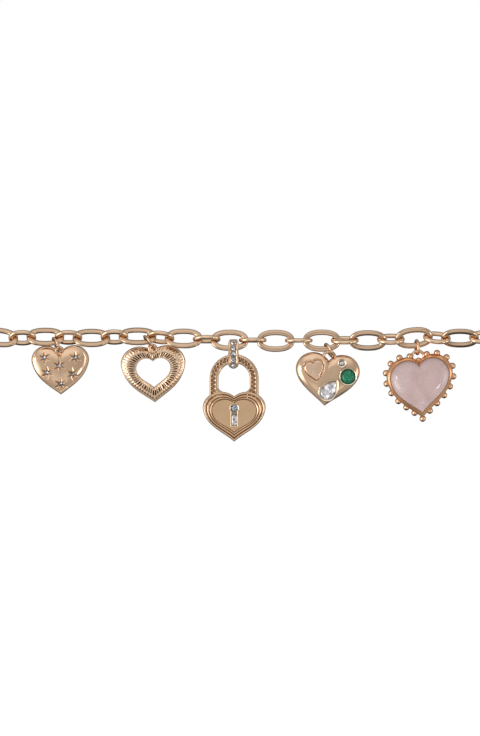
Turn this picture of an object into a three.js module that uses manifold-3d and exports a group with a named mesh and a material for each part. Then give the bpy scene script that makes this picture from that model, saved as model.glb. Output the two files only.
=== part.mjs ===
// Charm necklace: a cable chain of long and short oval links that makes one whole loop, with five heart
// charms on its front stretch. Millimetres, +Z up. The origin is the nape, where the loop is held, and the
// front stretch lies level on the -Y side, lower than the nape, with the charms hanging below it.

import * as THREE from 'three';
import { mergeVertices } from 'three/addons/utils/BufferGeometryUtils.js';
import Module from 'manifold-3d';

const wasm = await Module();
wasm.setup();

// ---- driving dimensions (mm, degrees) ----

const GAP = 0.1; // running gap where one link bears on the next
const SEAT = 0.2; // gap between a stone and its setting

const LONG = { length: 10.6, width: 6.15, wire: 1.4 };
const SHORT = { length: 7.8, width: 5.3, wire: 1.25 };
const SQUARENESS = 2.5; // exponent of the links' superellipse
const FINE = { sides: 6, steps: 12 };
const COARSE = { sides: 5, steps: 8 };
const JOINED_END = { sides: 6, steps: 8 };
const JOINED_WIRE = 0.35; // extra wire inside a joined link, so that it meets its neighbours

const LINKS_LEFT = 44; // chain places left of the middle link, long links on even places
const LINKS_RIGHT = 46;
const OWN_PLACES = 15; // links this near the middle are pieces of their own
const JOINED_PIECES = 3; // solids that the rest of each side is joined in
const MIDDLE_X = -2.9; // the middle long link, which carries the padlock

const CLASP = { length: 12, width: 7, wire: 1.7, eye: 4, eyeWire: 1, overlap: 0.5 };
const CLASP_RING = { length: 5.4, width: 5.4, wire: 0.9 };

const LOOP_TILT = 46; // the loop's plane above horizontal
const FRONT_HALF = 62; // half of the level front stretch
const FRONT_RADIUS = 30;
const SIDE = 64;
const BACK_RADIUS = 70;

// The front links: chain place, roll about the chain (positive brings the upper bar forward), lift of the
// link's middle, and tilt (positive raises the right end). Odd places are short links.
const FRONT_LINKS = [
  { place: -10, roll: -34, lift: -0.05, tilt: 0 },
  { place: -9, roll: 40, lift: 0.2, tilt: 0 },
  { place: -8, roll: -38, lift: 0.45, tilt: 0 },
  { place: -7, roll: 44, lift: 0.3, tilt: 0 },
  { place: -6, roll: -38, lift: 0.15, tilt: 0 },
  { place: -5, roll: 41, lift: 0.4, tilt: 0 },
  { place: -4, roll: -41, lift: 0.6, tilt: 0 },
  { place: -3, roll: 51, lift: 0.3, tilt: -6 },
  { place: -2, roll: -30, lift: 0, tilt: 0 },
  { place: -1, roll: 73, lift: -0.2, tilt: 0 },
  { place: 0, roll: -19, lift: -0.3, tilt: 0 },
  { place: 1, roll: 87, lift: -0.4, tilt: 0 },
  { place: 2, roll: -6, lift: -0.5, tilt: 0 },
  { place: 3, roll: 90, lift: -0.5, tilt: 0 },
  { place: 4, roll: 0, lift: -0.45, tilt: 0 },
  { place: 5, roll: 107, lift: -0.5, tilt: 0 },
  { place: 6, roll: 25, lift: -0.55, tilt: 0 },
  { place: 7, roll: 119, lift: -0.2, tilt: 0 },
  { place: 8, roll: 22, lift: 0.2, tilt: 6 },
  { place: 9, roll: 125, lift: 0.2, tilt: -5 },
  { place: 10, roll: 36, lift: 0.1, tilt: 0 },
  { place: 11, roll: 130, lift: 0.05, tilt: 0 },
];
// Rolls from the loop's plane for the links past those: on each side they start as here and turn evenly to
// the nape's
const SIDE_ROLLS = { left: { long: 8, short: 96 }, right: { long: 82, short: 172 } };
const NAPE_ROLLS = { long: 0, short: 90 };
const FRONT_REACH = 11;

// The charms are drawn facing forward: x to the right, y up from the chain's line, z forward.
const STARBURST = {
  x: -50.7, top: -2.35, z: 0.75, tilt: 2.6, width: 15.7, height: 13.15, notch: 2.3,
  thick: 2.1, dome: 0.85, edge: 2.6,
};
const FLUTED = {
  x: -24.35, top: -2.5, z: -0.85, tilt: 2.5, width: 17.6, height: 14.9, notch: 1.4,
  hole: { width: 9.8, height: 8.1, notch: 0.9, top: -3.1 }, thick: 1.8, dome: 0.6, edge: 0.75,
};
const PADLOCK = {
  x: -1.62, top: -14.9, z: 0.77, width: 17.4, height: 13.9, notch: 1.3, thick: 2.6, dome: 0.7, edge: 0.9,
  plate: { width: 12.6, height: 9.5, notch: 0.9, inset: 1.8, depth: 0.45 },
};
const SHACKLE = { radius: 5.55, bar: 2.35, depth: 1.9, top: -5.75, foot: -16.6 };
const KEYHOLE = {
  y: -19.5, bezel: 2.9, round: 1.7, slotWidth: 2.4, slotEnd: -24.9, slotEdge: 0.5, baguette: [1.4, 3.7],
  rise: 0.9, pocket: 0.9,
};
const BAIL = {
  x: -1.95, width: 2.8, top: -0.2, bottom: -8.46, depth: 4.9,
  holeTop: -1.45, holeBottom: -7.5, holeDepth: 3.1, holeSquareness: 3.5,
};
const GEM = {
  x: 24.9, top: -4.45, z: 0, tilt: -5, width: 17.7, height: 14.2, notch: 2, thick: 2.6, dome: 0.95,
  edge: 2.4,
};
const GEM_SETTINGS = {
  raised: { x: -3.8, y: -4.7, turn: 18, width: 5.6, height: 6, notch: 0.9, rise: 0.35 },
  round: { x: 3.9, y: -2.4, bezel: 2.5, stone: 1.5, rise: 0.35, pocket: 0.9 },
  green: { x: 5.6, y: -5.9, bezel: 5, stone: 4, height: 1.6, rise: 0.6, pocket: 1.3 },
  pear: {
    x: 0.85, y: -9.7, turn: 53.5, bezelLip: 0.5, width: 4, length: 6, height: 1.4, dome: 0.45, edge: 0.6,
    rise: 0.5, pocket: 1.3,
  },
};
const QUARTZ = {
  x: 50.5, top: -5.5, z: -0.9, tilt: 2.2, width: 16.5, height: 14.9, notch: 1.8, back: 1, wall: 0.5,
  wallHeight: 1.9, dome: 2.2, edge: 2.5, tipAngle: 46,
  beads: { width: 19.1, height: 17.8, notch: 1.85, top: 1.3, count: 20, radius: 0.9, tipAngle: 46 },
};
// Rings soldered to the charms: centre, radius of the wire's centreline, wire. They face forward.
const LOOPS = {
  starburst: { x: 0.1, y: -1.1, z: 0, radius: 1, wire: 0.7 },
  fluted: { x: -0.1, y: -0.35, z: 0.75, radius: 1.05, wire: 0.7 },
  gem: { x: 0, y: -0.95, z: 0, radius: 1.25, wire: 0.8 },
  quartz: { x: -0.55, y: 0.45, z: 0, radius: 1.75, wire: 0.85 },
};
// Jump rings: centre, outer diameter and wire, turn from edge-on and slant of the ring's plane
const JUMP_RINGS = {
  starburst: { x: -51.4, y: -1.65, z: 0.85, across: 4.6, wire: 0.7, turn: 14, slant: 27 },
  fluted: { x: -25.5, y: -1.1, z: 0.5, across: 5, wire: 0.7, turn: 10, slant: 36 },
  gem: { x: 24.65, y: -3.3, z: 0, across: 4.7, wire: 0.8, turn: 28, slant: 8 },
  quartz: { x: 49.85, y: -2.45, z: -0.9, across: 4.6, wire: 0.8, turn: -8, slant: 3 },
};
const ROUND_RING = { sides: 6, steps: 12 };
const CURVE_STEPS = 5; // steps along each curve of a heart's outline, and half of those along each arc
const ARCH_STEPS = 10;
const SHACKLE_STEPS = 18;
const BAIL_STEPS = { outside: 20, hole: 16 };
const GREEN_SIDES = 20;

// The hearts' outline: where a lobe's arc gives way to the side, how far the side's curve holds each end's
// direction, the slope at the tip, and how much taller a heart is for each mm of even growth
const HEART = { lobeEnd: -14, hold: 0.34, tipAngle: 41, tipGrowth: 2.3 };
// A faceted stone's profile from its foot to its table: share of its radius, height
const FACETED = [[0, 0], [0.55, 0], [1, 0.35], [1, 0.45], [0.6, 0.75], [0, 0.75]];
const DOMED = { wallShare: 0.35, steps: 4 };
const PEAR = { pointGrowth: 1.3, belly: 1.15 };
const CUTTER = 4; // how far a cutting solid runs past the face it cuts

const gold = new THREE.MeshStandardMaterial({ color: 0xd8b48c, roughness: 0.28, metalness: 1 });
const roseGold = new THREE.MeshStandardMaterial({ color: 0xd9a583, roughness: 0.28, metalness: 1 });
const crystal = new THREE.MeshStandardMaterial({ color: 0xeef0f4, roughness: 0.05, metalness: 0 });
const greenStone = new THREE.MeshStandardMaterial({ color: 0x0f6b45, roughness: 0.15, metalness: 0 });
const pinkStone = new THREE.MeshStandardMaterial({ color: 0xd9b6b6, roughness: 0.15, metalness: 0 });

const radians = THREE.MathUtils.degToRad;
const model = new THREE.Group();

// ---- solids ----

// A closed three.js geometry as a solid that can be joined and cut
function solid(geometry) {
  const bare = geometry.clone();
  bare.deleteAttribute('normal');
  bare.deleteAttribute('uv');
  const merged = mergeVertices(bare, 1e-4);
  return new wasm.Manifold(new wasm.Mesh({
    numProp: 3,
    vertProperties: new Float32Array(merged.attributes.position.array),
    triVerts: new Uint32Array(merged.index.array),
  }));
}

// A joined or cut solid back as a three.js geometry
function surface(body) {
  const mesh = body.getMesh();
  const geometry = new THREE.BufferGeometry();
  geometry.setAttribute('position', new THREE.BufferAttribute(mesh.vertProperties, 3));
  geometry.setIndex(new THREE.BufferAttribute(mesh.triVerts, 1));
  geometry.computeVertexNormals();
  return geometry;
}

function addPiece(parent, name, geometry, material) {
  const mesh = new THREE.Mesh(geometry, material);
  mesh.name = name;
  parent.add(mesh);
  return mesh;
}

// The vertex radius of a wire with few sides that has the round wire's area
function wireRadius(wire, sides) {
  return (wire / 2) * Math.sqrt(Math.PI / ((sides / 2) * Math.sin((2 * Math.PI) / sides)));
}

function superPoint(halfLength, halfWidth, angle, exponent) {
  const bend = (value) => Math.sign(value) * Math.abs(value) ** (2 / exponent);
  return new THREE.Vector2(halfLength * bend(Math.cos(angle)), halfWidth * bend(Math.sin(angle)));
}

// An oval ring of round wire in the XY plane, its length along X: a torus drawn out to a superellipse. Flat
// stretches lie at its ends and sides, and the wire's flat sides face the opening, so that neighbours keep
// their gap.
function ovalRing({ length, width, wire }, { sides, steps }, exponent = SQUARENESS) {
  const geometry = new THREE.TorusGeometry(1, 0.5, sides, steps);
  const position = geometry.attributes.position;
  const radius = wireRadius(wire, sides);
  const flatten = Math.cos(Math.PI / steps) ** (2 / exponent);
  const halfLength = (length - wire) / 2 / flatten;
  const halfWidth = (width - wire) / 2 / flatten;
  const outward = (value, half) => (Math.sign(value) * Math.abs(value / half) ** (exponent - 1)) / half;
  for (let side = 0; side <= sides; side += 1) {
    for (let step = 0; step <= steps; step += 1) {
      const turn = (((step % steps) + 0.5) / steps) * 2 * Math.PI;
      const middle = superPoint(halfLength, halfWidth, turn, exponent);
      const normal = new THREE.Vector2(outward(middle.x, halfLength), outward(middle.y, halfWidth));
      normal.normalize();
      const around = (((side % sides) + 0.5) / sides) * 2 * Math.PI;
      middle.addScaledVector(normal, radius * Math.cos(around));
      position.setXYZ(side * (steps + 1) + step, middle.x, middle.y, radius * Math.sin(around));
    }
  }
  return geometry;
}

// A heart's outline, its lobes' tops on y = 0 and its tip below: round lobes that meet in the notch, and
// sides that run almost straight to the tip.
function heartOutline({ width, height, notch, tipAngle = HEART.tipAngle }) {
  const half = width / 2;
  const lobe = half + notch - Math.sqrt(2 * half * notch);
  const centre = half - lobe;
  const start = Math.atan2(lobe - notch, -centre);
  const end = radians(HEART.lobeEnd);
  const side = new THREE.Vector2(centre + lobe * Math.cos(end), lobe * Math.sin(end) - lobe);
  const tip = new THREE.Vector2(0, -height);
  const reach = side.distanceTo(tip) * HEART.hold;
  const low = new THREE.Vector2(Math.cos(radians(tipAngle)), Math.sin(radians(tipAngle)));
  low.multiplyScalar(reach).add(tip);
  const high = new THREE.Vector2(Math.sin(end), -Math.cos(end)).multiplyScalar(reach).add(side);
  const shape = new THREE.Shape();
  shape.moveTo(0, -notch);
  shape.absarc(centre, -lobe, lobe, start, end, true);
  shape.bezierCurveTo(high.x, high.y, low.x, low.y, tip.x, tip.y);
  shape.bezierCurveTo(-low.x, low.y, -high.x, high.y, -side.x, side.y);
  shape.absarc(-centre, -lobe, lobe, Math.PI - end, Math.PI - start, true);
  return shape;
}

// The outline's points, clockwise and moved up by rise, each once
function heartPoints(size, rise = 0) {
  const points = heartOutline(size).getPoints(CURVE_STEPS).slice(0, -1);
  const once = points.filter((point, index) => index === 0 || point.distanceTo(points[index - 1]) > 1e-3);
  return once.map((point) => point.add(new THREE.Vector2(0, rise)));
}

const heartShape = (size) => new THREE.Shape(heartPoints(size));

// A shape as a plate, its faces domed by dome over the edge width, its middle plane on z = 0
function domedPlate(shape, thick, dome, edge) {
  const geometry = new THREE.ExtrudeGeometry(shape, {
    depth: thick - 2 * dome,
    curveSegments: CURVE_STEPS,
    bevelEnabled: true,
    bevelThickness: dome,
    bevelSize: edge,
    bevelOffset: -edge,
    bevelSegments: 2,
  });
  return geometry.translate(0, 0, dome - thick / 2);
}

function plate(shape, thick, low = 0) {
  const options = { depth: thick, bevelEnabled: false, curveSegments: CURVE_STEPS };
  return new THREE.ExtrudeGeometry(shape, options).translate(0, 0, low);
}

function disc(diameter, thick, low, x, y, sides = 16) {
  const geometry = new THREE.CylinderGeometry(diameter / 2, diameter / 2, thick, sides);
  return geometry.rotateX(Math.PI / 2).translate(x, y, low + thick / 2);
}

function soldered({ x, y, z, radius, wire }) {
  const size = { length: 2 * radius + wire, width: 2 * radius + wire, wire };
  return ovalRing(size, ROUND_RING, 2).translate(x, y, z);
}

// A faceted stone: flat table, sloping crown and a short pavilion under the girdle
function roundStone(diameter, low, x, y, sides = 8) {
  const points = FACETED.map(([share, up]) => new THREE.Vector2((share * diameter) / 2, up));
  return new THREE.LatheGeometry(points, sides).rotateX(Math.PI / 2).translate(x, y, low);
}

// A domed stone with a flat back
function cabochon(diameter, height, low, x, y) {
  const points = [new THREE.Vector2(0, 0), new THREE.Vector2(diameter / 2, 0)];
  const wall = height * DOMED.wallShare;
  for (let step = 0; step <= DOMED.steps; step += 1) {
    const angle = (step / DOMED.steps) * (Math.PI / 2);
    const up = wall + (height - wall) * Math.sin(angle);
    const across = step === DOMED.steps ? 0 : (diameter / 2) * Math.cos(angle);
    points.push(new THREE.Vector2(across, up));
  }
  return new THREE.LatheGeometry(points, 16).rotateX(Math.PI / 2).translate(x, y, low);
}

// A pear outline, its point on +x, its middle on the origin
function pearShape(length, width, grow = 0) {
  const radius = width / 2 + grow;
  const middle = -length / 2 + width / 2;
  const point = length / 2 + grow * PEAR.pointGrowth;
  const belly = middle + radius * PEAR.belly;
  const shape = new THREE.Shape();
  shape.moveTo(point, 0);
  shape.quadraticCurveTo(belly, radius, middle, radius);
  shape.absarc(middle, 0, radius, Math.PI / 2, (3 * Math.PI) / 2, false);
  shape.quadraticCurveTo(belly, -radius, point, 0);
  return shape;
}

// ---- the loop ----

const inner = ({ length, wire }) => length - 2 * wire;
const claspEyeX = CLASP.length / 2 + CLASP.eye / 2 - CLASP.overlap;
const claspInner = CLASP.length / 2 - CLASP.wire + claspEyeX + CLASP.eye / 2 - CLASP.eyeWire;
const step = (inner(LONG) + inner(SHORT)) / 2 - GAP; // from one link's middle to the next
const ringStep = (inner(LONG) + inner(CLASP_RING)) / 2 - GAP;
const claspStep = (inner(CLASP_RING) + claspInner) / 2 - GAP;
const loopLength = (LINKS_LEFT + LINKS_RIGHT) * step + 2 * ringStep + 2 * claspStep;

const quarter = Math.PI / 2;
const sideStart = FRONT_HALF + FRONT_RADIUS * quarter;
const backStart = sideStart + SIDE + BACK_RADIUS * quarter;
const backHalf = loopLength / 2 - backStart;
const sideX = FRONT_HALF + FRONT_RADIUS;
const loopHeight = FRONT_RADIUS + SIDE + BACK_RADIUS;
const tiltAngle = radians(LOOP_TILT);
const downPlane = new THREE.Vector3(0, -Math.cos(tiltAngle), -Math.sin(tiltAngle));
const loopNormal = new THREE.Vector3(0, -Math.sin(tiltAngle), Math.cos(tiltAngle));
const front = new THREE.Group();
front.position.copy(downPlane).multiplyScalar(loopHeight);
front.rotation.x = quarter;
model.add(front);

// The loop's line at a length along it from the front's middle, right positive: across, down the plane, and
// the heading away from the front's direction
function routeAt(along) {
  const length = Math.abs(along);
  let across;
  let down;
  let heading;
  if (length < FRONT_HALF) {
    [across, down, heading] = [length, loopHeight, 0];
  } else if (length < sideStart) {
    heading = (length - FRONT_HALF) / FRONT_RADIUS;
    across = FRONT_HALF + FRONT_RADIUS * Math.sin(heading);
    down = loopHeight - FRONT_RADIUS * (1 - Math.cos(heading));
  } else if (length < sideStart + SIDE) {
    [across, down, heading] = [sideX, loopHeight - FRONT_RADIUS - (length - sideStart), quarter];
  } else if (length < backStart) {
    heading = quarter + (length - sideStart - SIDE) / BACK_RADIUS;
    across = sideX - BACK_RADIUS * (1 - Math.sin(heading));
    down = BACK_RADIUS * (1 + Math.cos(heading));
  } else {
    [across, down, heading] = [loopLength / 2 - length, 0, Math.PI];
  }
  const side = Math.sign(along) || 1;
  const point = new THREE.Vector3(side * across, 0, 0).addScaledVector(downPlane, down);
  const tangent = new THREE.Vector3(Math.cos(heading), 0, 0);
  tangent.addScaledVector(downPlane, -side * Math.sin(heading));
  return { point, tangent };
}

// The placing of a piece on the loop, rolled about the loop's line from the loop's plane
function placeAt(along, roll, lift = 0, tilt = 0) {
  const { point, tangent } = routeAt(along);
  const normal = loopNormal.clone().applyAxisAngle(tangent, radians(roll));
  const width = normal.clone().cross(tangent);
  const matrix = new THREE.Matrix4().makeBasis(tangent, width, normal);
  const forward = new THREE.Vector3(0, -1, 0);
  matrix.premultiply(new THREE.Matrix4().makeRotationAxis(forward, radians(tilt)));
  return matrix.setPosition(point.x, point.y, point.z + lift);
}

function linkPlacing(place) {
  const along = MIDDLE_X + place * step;
  const row = FRONT_LINKS.find((link) => link.place === place);
  if (row) return placeAt(along, 90 - LOOP_TILT + row.roll, row.lift, row.tilt);
  const [sideName, last] = place < 0 ? ['left', LINKS_LEFT] : ['right', LINKS_RIGHT];
  const kind = place % 2 ? 'short' : 'long';
  const start = SIDE_ROLLS[sideName][kind];
  const share = (Math.abs(place) - FRONT_REACH) / (last - FRONT_REACH);
  return placeAt(along, THREE.MathUtils.lerp(start, NAPE_ROLLS[kind], share));
}

function addOwnLinks() {
  for (let place = -OWN_PLACES; place <= OWN_PLACES; place += 1) {
    const isShort = place % 2 !== 0;
    const number = String(place + OWN_PLACES + 1).padStart(2, '0');
    const name = `link_${isShort ? 'short' : 'long'}_${number}`;
    const mesh = addPiece(model, name, ovalRing(isShort ? SHORT : LONG, FINE), gold);
    linkPlacing(place).decompose(mesh.position, mesh.quaternion, mesh.scale);
  }
}

// The links of a stretch joined in one solid. All but the end ones have slightly thicker wire, which
// reaches into the next link.
function joinedStretch(places) {
  const links = places.map((place, index) => {
    const isEnd = index === 0 || index === places.length - 1;
    const size = { ...(place % 2 ? SHORT : LONG) };
    if (!isEnd) size.wire += JOINED_WIRE;
    return solid(ovalRing(size, isEnd ? JOINED_END : COARSE).applyMatrix4(linkPlacing(place)));
  });
  return surface(links.reduce((joined, link) => joined.add(link)));
}

function addJoinedSide(sideName, sign, lastPlace) {
  const places = [];
  for (let place = OWN_PLACES + 1; place <= lastPlace; place += 1) places.push(sign * place);
  const perPiece = Math.ceil(places.length / JOINED_PIECES);
  for (let index = 0; index < JOINED_PIECES; index += 1) {
    const part = places.slice(index * perPiece, (index + 1) * perPiece);
    addPiece(model, `chain_${sideName}_${index + 1}`, joinedStretch(part), gold);
  }
}

// The clasp: an oval claw and its eye, one piece, with a ring at each end
function addClasp() {
  const rightRing = MIDDLE_X + LINKS_RIGHT * step + ringStep;
  const leftRing = MIDDLE_X - LINKS_LEFT * step - ringStep;
  const middle = rightRing + claspStep - loopLength;
  const claw = solid(ovalRing(CLASP, FINE));
  const eye = { length: CLASP.eye, width: CLASP.eye, wire: CLASP.eyeWire };
  const eyeRing = solid(ovalRing(eye, ROUND_RING, 2).translate(claspEyeX, 0, 0));
  const centred = (CLASP.length / 2 - CLASP.wire + claspInner / 2) - (CLASP.length - 2 * CLASP.wire);
  const geometry = surface(claw.add(eyeRing)).translate(-centred, 0, 0);
  const mesh = addPiece(model, 'clasp', geometry, gold);
  placeAt(middle, 0).decompose(mesh.position, mesh.quaternion, mesh.scale);
  const rings = [['clasp_ring_right', rightRing, 90], ['clasp_ring_left', leftRing, 90]];
  for (const [name, along, roll] of rings) {
    const ring = ovalRing(CLASP_RING, ROUND_RING, 2);
    const ringMesh = addPiece(model, name, ring, gold);
    placeAt(along, roll).decompose(ringMesh.position, ringMesh.quaternion, ringMesh.scale);
  }
}

// ---- the charms ----

function charmGroup({ x, top, z, tilt = 0 }) {
  const group = new THREE.Group();
  group.position.set(x, top, z);
  group.rotation.z = radians(tilt);
  front.add(group);
  return group;
}

function addJumpRing(name, { x, y, z, across, wire, turn, slant }, material = gold) {
  const size = { length: across, width: across, wire };
  const geometry = ovalRing(size, ROUND_RING, 2);
  geometry.rotateY(quarter).rotateY(radians(turn)).rotateZ(radians(slant));
  addPiece(front, name, geometry, material).position.set(x, y, z);
}

function addStarburstHeart() {
  const { thick, dome, edge } = STARBURST;
  const body = solid(domedPlate(heartShape(STARBURST), thick, dome, edge));
  const heart = body.add(solid(soldered(LOOPS.starburst)));
  addPiece(charmGroup(STARBURST), 'starburst_heart', surface(heart), gold);
  addJumpRing('starburst_ring', JUMP_RINGS.starburst);
}

function addFlutedHeart() {
  const { thick, dome, edge, hole } = FLUTED;
  const shape = heartShape(FLUTED);
  shape.holes.push(new THREE.Path(heartPoints(hole, hole.top).reverse()));
  const rim = solid(domedPlate(shape, thick, dome, edge));
  const heart = rim.add(solid(soldered(LOOPS.fluted)));
  addPiece(charmGroup(FLUTED), 'fluted_heart', surface(heart), gold);
  addJumpRing('fluted_ring', JUMP_RINGS.fluted);
}

function shackleTube() {
  const { radius, bar, depth, top, foot } = SHACKLE;
  const spring = top - radius;
  const path = new THREE.CurvePath();
  const arch = [];
  for (let index = 0; index <= ARCH_STEPS; index += 1) {
    const angle = Math.PI * (1 - index / ARCH_STEPS);
    arch.push(new THREE.Vector3(radius * Math.cos(angle), spring + radius * Math.sin(angle), 0));
  }
  path.add(new THREE.LineCurve3(new THREE.Vector3(-radius, foot, 0), arch[0]));
  path.add(new THREE.CatmullRomCurve3(arch));
  path.add(new THREE.LineCurve3(arch[ARCH_STEPS], new THREE.Vector3(radius, foot, 0)));
  const section = new THREE.Shape().absellipse(0, 0, depth / 2, bar / 2, 0, 2 * Math.PI, false);
  const options = { steps: SHACKLE_STEPS, curveSegments: CURVE_STEPS, extrudePath: path };
  return new THREE.ExtrudeGeometry(section, options);
}

function addPadlock() {
  const { thick, dome, edge, plate: inset, top } = PADLOCK;
  const face = thick / 2;
  const recess = plate(heartShape(inset), face, face - inset.depth).translate(0, -inset.inset, 0);
  const boss = face - inset.depth + KEYHOLE.rise;
  const round = KEYHOLE.y - top;
  const slot = KEYHOLE.slotEnd - top;
  const slotBox = new THREE.BoxGeometry(KEYHOLE.slotWidth, round - slot, boss);
  const [baguetteWidth, baguetteLength] = KEYHOLE.baguette;
  const baguetteY = slot + baguetteLength / 2 + KEYHOLE.slotEdge;
  const floor = boss - KEYHOLE.pocket;
  const pocketSize = [baguetteWidth + 2 * SEAT, baguetteLength + 2 * SEAT, KEYHOLE.pocket * 2];
  const baguettePocket = new THREE.BoxGeometry(...pocketSize).translate(0, baguetteY, boss);
  const roundPocket = disc(KEYHOLE.round + 2 * SEAT, KEYHOLE.pocket * 2, floor, 0, round, 12);
  const body = solid(domedPlate(heartShape(PADLOCK), thick, dome, edge))
    .subtract(solid(recess))
    .add(solid(shackleTube().translate(0, -top, 0)))
    .add(solid(disc(KEYHOLE.bezel, boss, 0, 0, round)))
    .add(solid(slotBox.translate(0, (round + slot) / 2, boss / 2)))
    .subtract(solid(roundPocket))
    .subtract(solid(baguettePocket));
  const group = charmGroup(PADLOCK);
  addPiece(group, 'padlock', surface(body), gold);
  addPiece(group, 'keyhole_round', roundStone(KEYHOLE.round, floor + SEAT, 0, round), crystal);
  const baguette = new THREE.BoxGeometry(baguetteWidth, baguetteLength, KEYHOLE.pocket - SEAT);
  baguette.translate(0, baguetteY, floor + SEAT + (KEYHOLE.pocket - SEAT) / 2);
  addPiece(group, 'keyhole_baguette', baguette, crystal);
}

function ovalPath(PathClass, { across, top, bottom, exponent = SQUARENESS }, count) {
  const points = [];
  for (let index = 0; index < count; index += 1) {
    const angle = (index / count) * 2 * Math.PI;
    const point = superPoint(across / 2, (top - bottom) / 2, angle, exponent);
    points.push(point.add(new THREE.Vector2(0, (top + bottom) / 2)));
  }
  return new PathClass(points);
}

function addBail() {
  const outside = { across: BAIL.depth, top: BAIL.top, bottom: BAIL.bottom };
  const hole = {
    across: BAIL.holeDepth, top: BAIL.holeTop, bottom: BAIL.holeBottom, exponent: BAIL.holeSquareness,
  };
  const shape = ovalPath(THREE.Shape, outside, BAIL_STEPS.outside);
  shape.holes.push(ovalPath(THREE.Path, hole, BAIL_STEPS.hole));
  const geometry = new THREE.ExtrudeGeometry(shape, { depth: BAIL.width, bevelEnabled: false });
  geometry.translate(0, 0, -BAIL.width / 2).rotateY(quarter);
  addPiece(front, 'bail', geometry, gold).position.set(BAIL.x, 0, PADLOCK.z);
}

function addGemHeart() {
  const { thick, dome, edge } = GEM;
  const { raised, round, green, pear } = GEM_SETTINGS;
  const face = thick / 2;
  const small = plate(heartShape(raised), face + raised.rise).translate(0, raised.height / 2, 0);
  small.rotateZ(radians(raised.turn)).translate(raised.x, raised.y, 0);
  const turned = (geometry) => geometry.rotateZ(radians(pear.turn)).translate(pear.x, pear.y, 0);
  const pearBezel = turned(plate(pearShape(pear.length, pear.width, pear.bezelLip), face + pear.rise));
  const pearFloor = face + pear.rise - pear.pocket;
  const pearPocket = turned(plate(pearShape(pear.length, pear.width), CUTTER, pearFloor));
  const roundFloor = face + round.rise - round.pocket;
  const greenFloor = face + green.rise - green.pocket;
  const loopOpening = 2 * LOOPS.gem.radius - LOOPS.gem.wire;
  const heart = solid(domedPlate(heartShape(GEM), thick, dome, edge))
    .add(solid(soldered(LOOPS.gem)))
    .subtract(solid(disc(loopOpening, 2 * CUTTER, -CUTTER, LOOPS.gem.x, LOOPS.gem.y)))
    .add(solid(small))
    .add(solid(disc(round.bezel, face + round.rise, 0, round.x, round.y)))
    .add(solid(disc(green.bezel, face + green.rise, 0, green.x, green.y, GREEN_SIDES)))
    .add(solid(pearBezel))
    .subtract(solid(disc(round.stone + 2 * SEAT, CUTTER, roundFloor, round.x, round.y)))
    .subtract(solid(disc(green.stone + 2 * SEAT, CUTTER, greenFloor, green.x, green.y, GREEN_SIDES)))
    .subtract(solid(pearPocket));
  const group = charmGroup(GEM);
  addPiece(group, 'gem_heart', surface(heart), gold);
  addPiece(group, 'gem_round', roundStone(round.stone, roundFloor + SEAT, round.x, round.y), crystal);
  const greenDome = cabochon(green.stone, green.height, greenFloor + SEAT, green.x, green.y);
  addPiece(group, 'gem_green', greenDome, greenStone);
  const pearOutline = pearShape(pear.length, pear.width, -SEAT);
  const pearStone = domedPlate(pearOutline, pear.height, pear.dome, pear.edge);
  const pearMiddle = pearFloor + SEAT + pear.height / 2;
  addPiece(group, 'gem_pear', turned(pearStone.translate(0, 0, pearMiddle)), crystal);
  addJumpRing('gem_ring', JUMP_RINGS.gem);
}

function addQuartzHeart() {
  const { width, height, back, wall, wallHeight, dome, edge, beads } = QUARTZ;
  const grown = (by) => {
    const size = { ...QUARTZ, width: width + 2 * by, height: height + HEART.tipGrowth * by };
    return new THREE.Shape(heartPoints(size, by));
  };
  let frame = solid(plate(grown(wall + SEAT), back + wallHeight, -back));
  const pocket = plate(grown(SEAT), wallHeight + CUTTER, 0);
  frame = frame.add(solid(soldered(LOOPS.quartz)));
  const places = heartOutline(beads).getSpacedPoints(beads.count).slice(0, beads.count);
  for (const place of places) {
    const bead = new THREE.IcosahedronGeometry(beads.radius, 0);
    frame = frame.add(solid(bead.translate(place.x, place.y + beads.top, 0)));
  }
  const group = charmGroup(QUARTZ);
  addPiece(group, 'quartz_frame', surface(frame.subtract(solid(pocket))), roseGold);
  const thick = 2 * (dome + wallHeight);
  const whole = solid(domedPlate(heartShape(QUARTZ), thick, dome, edge));
  const under = new THREE.BoxGeometry(4 * width, 4 * width, thick).translate(0, 0, SEAT - thick / 2);
  addPiece(group, 'quartz_stone', surface(whole.subtract(solid(under))), pinkStone);
  addJumpRing('quartz_ring', JUMP_RINGS.quartz, roseGold);
}

addOwnLinks();
addJoinedSide('left', -1, LINKS_LEFT);
addJoinedSide('right', 1, LINKS_RIGHT);
addClasp();
addStarburstHeart();
addFlutedHeart();
addBail();
addPadlock();
addGemHeart();
addQuartzHeart();

export default model;
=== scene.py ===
"""Charm necklace: oval-link chain with five heart charms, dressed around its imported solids.

Pieces are modelled in millimetres, facing the viewer (x right, y up, z towards the viewer), and
then set into the necklace's own frame, which is in metres.
"""

import logging
import math
from collections.abc import Callable, Sequence
from dataclasses import dataclass, replace
from enum import Enum
from functools import cache

import bpy
import numpy as np
from mathutils import Matrix, Vector


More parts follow.
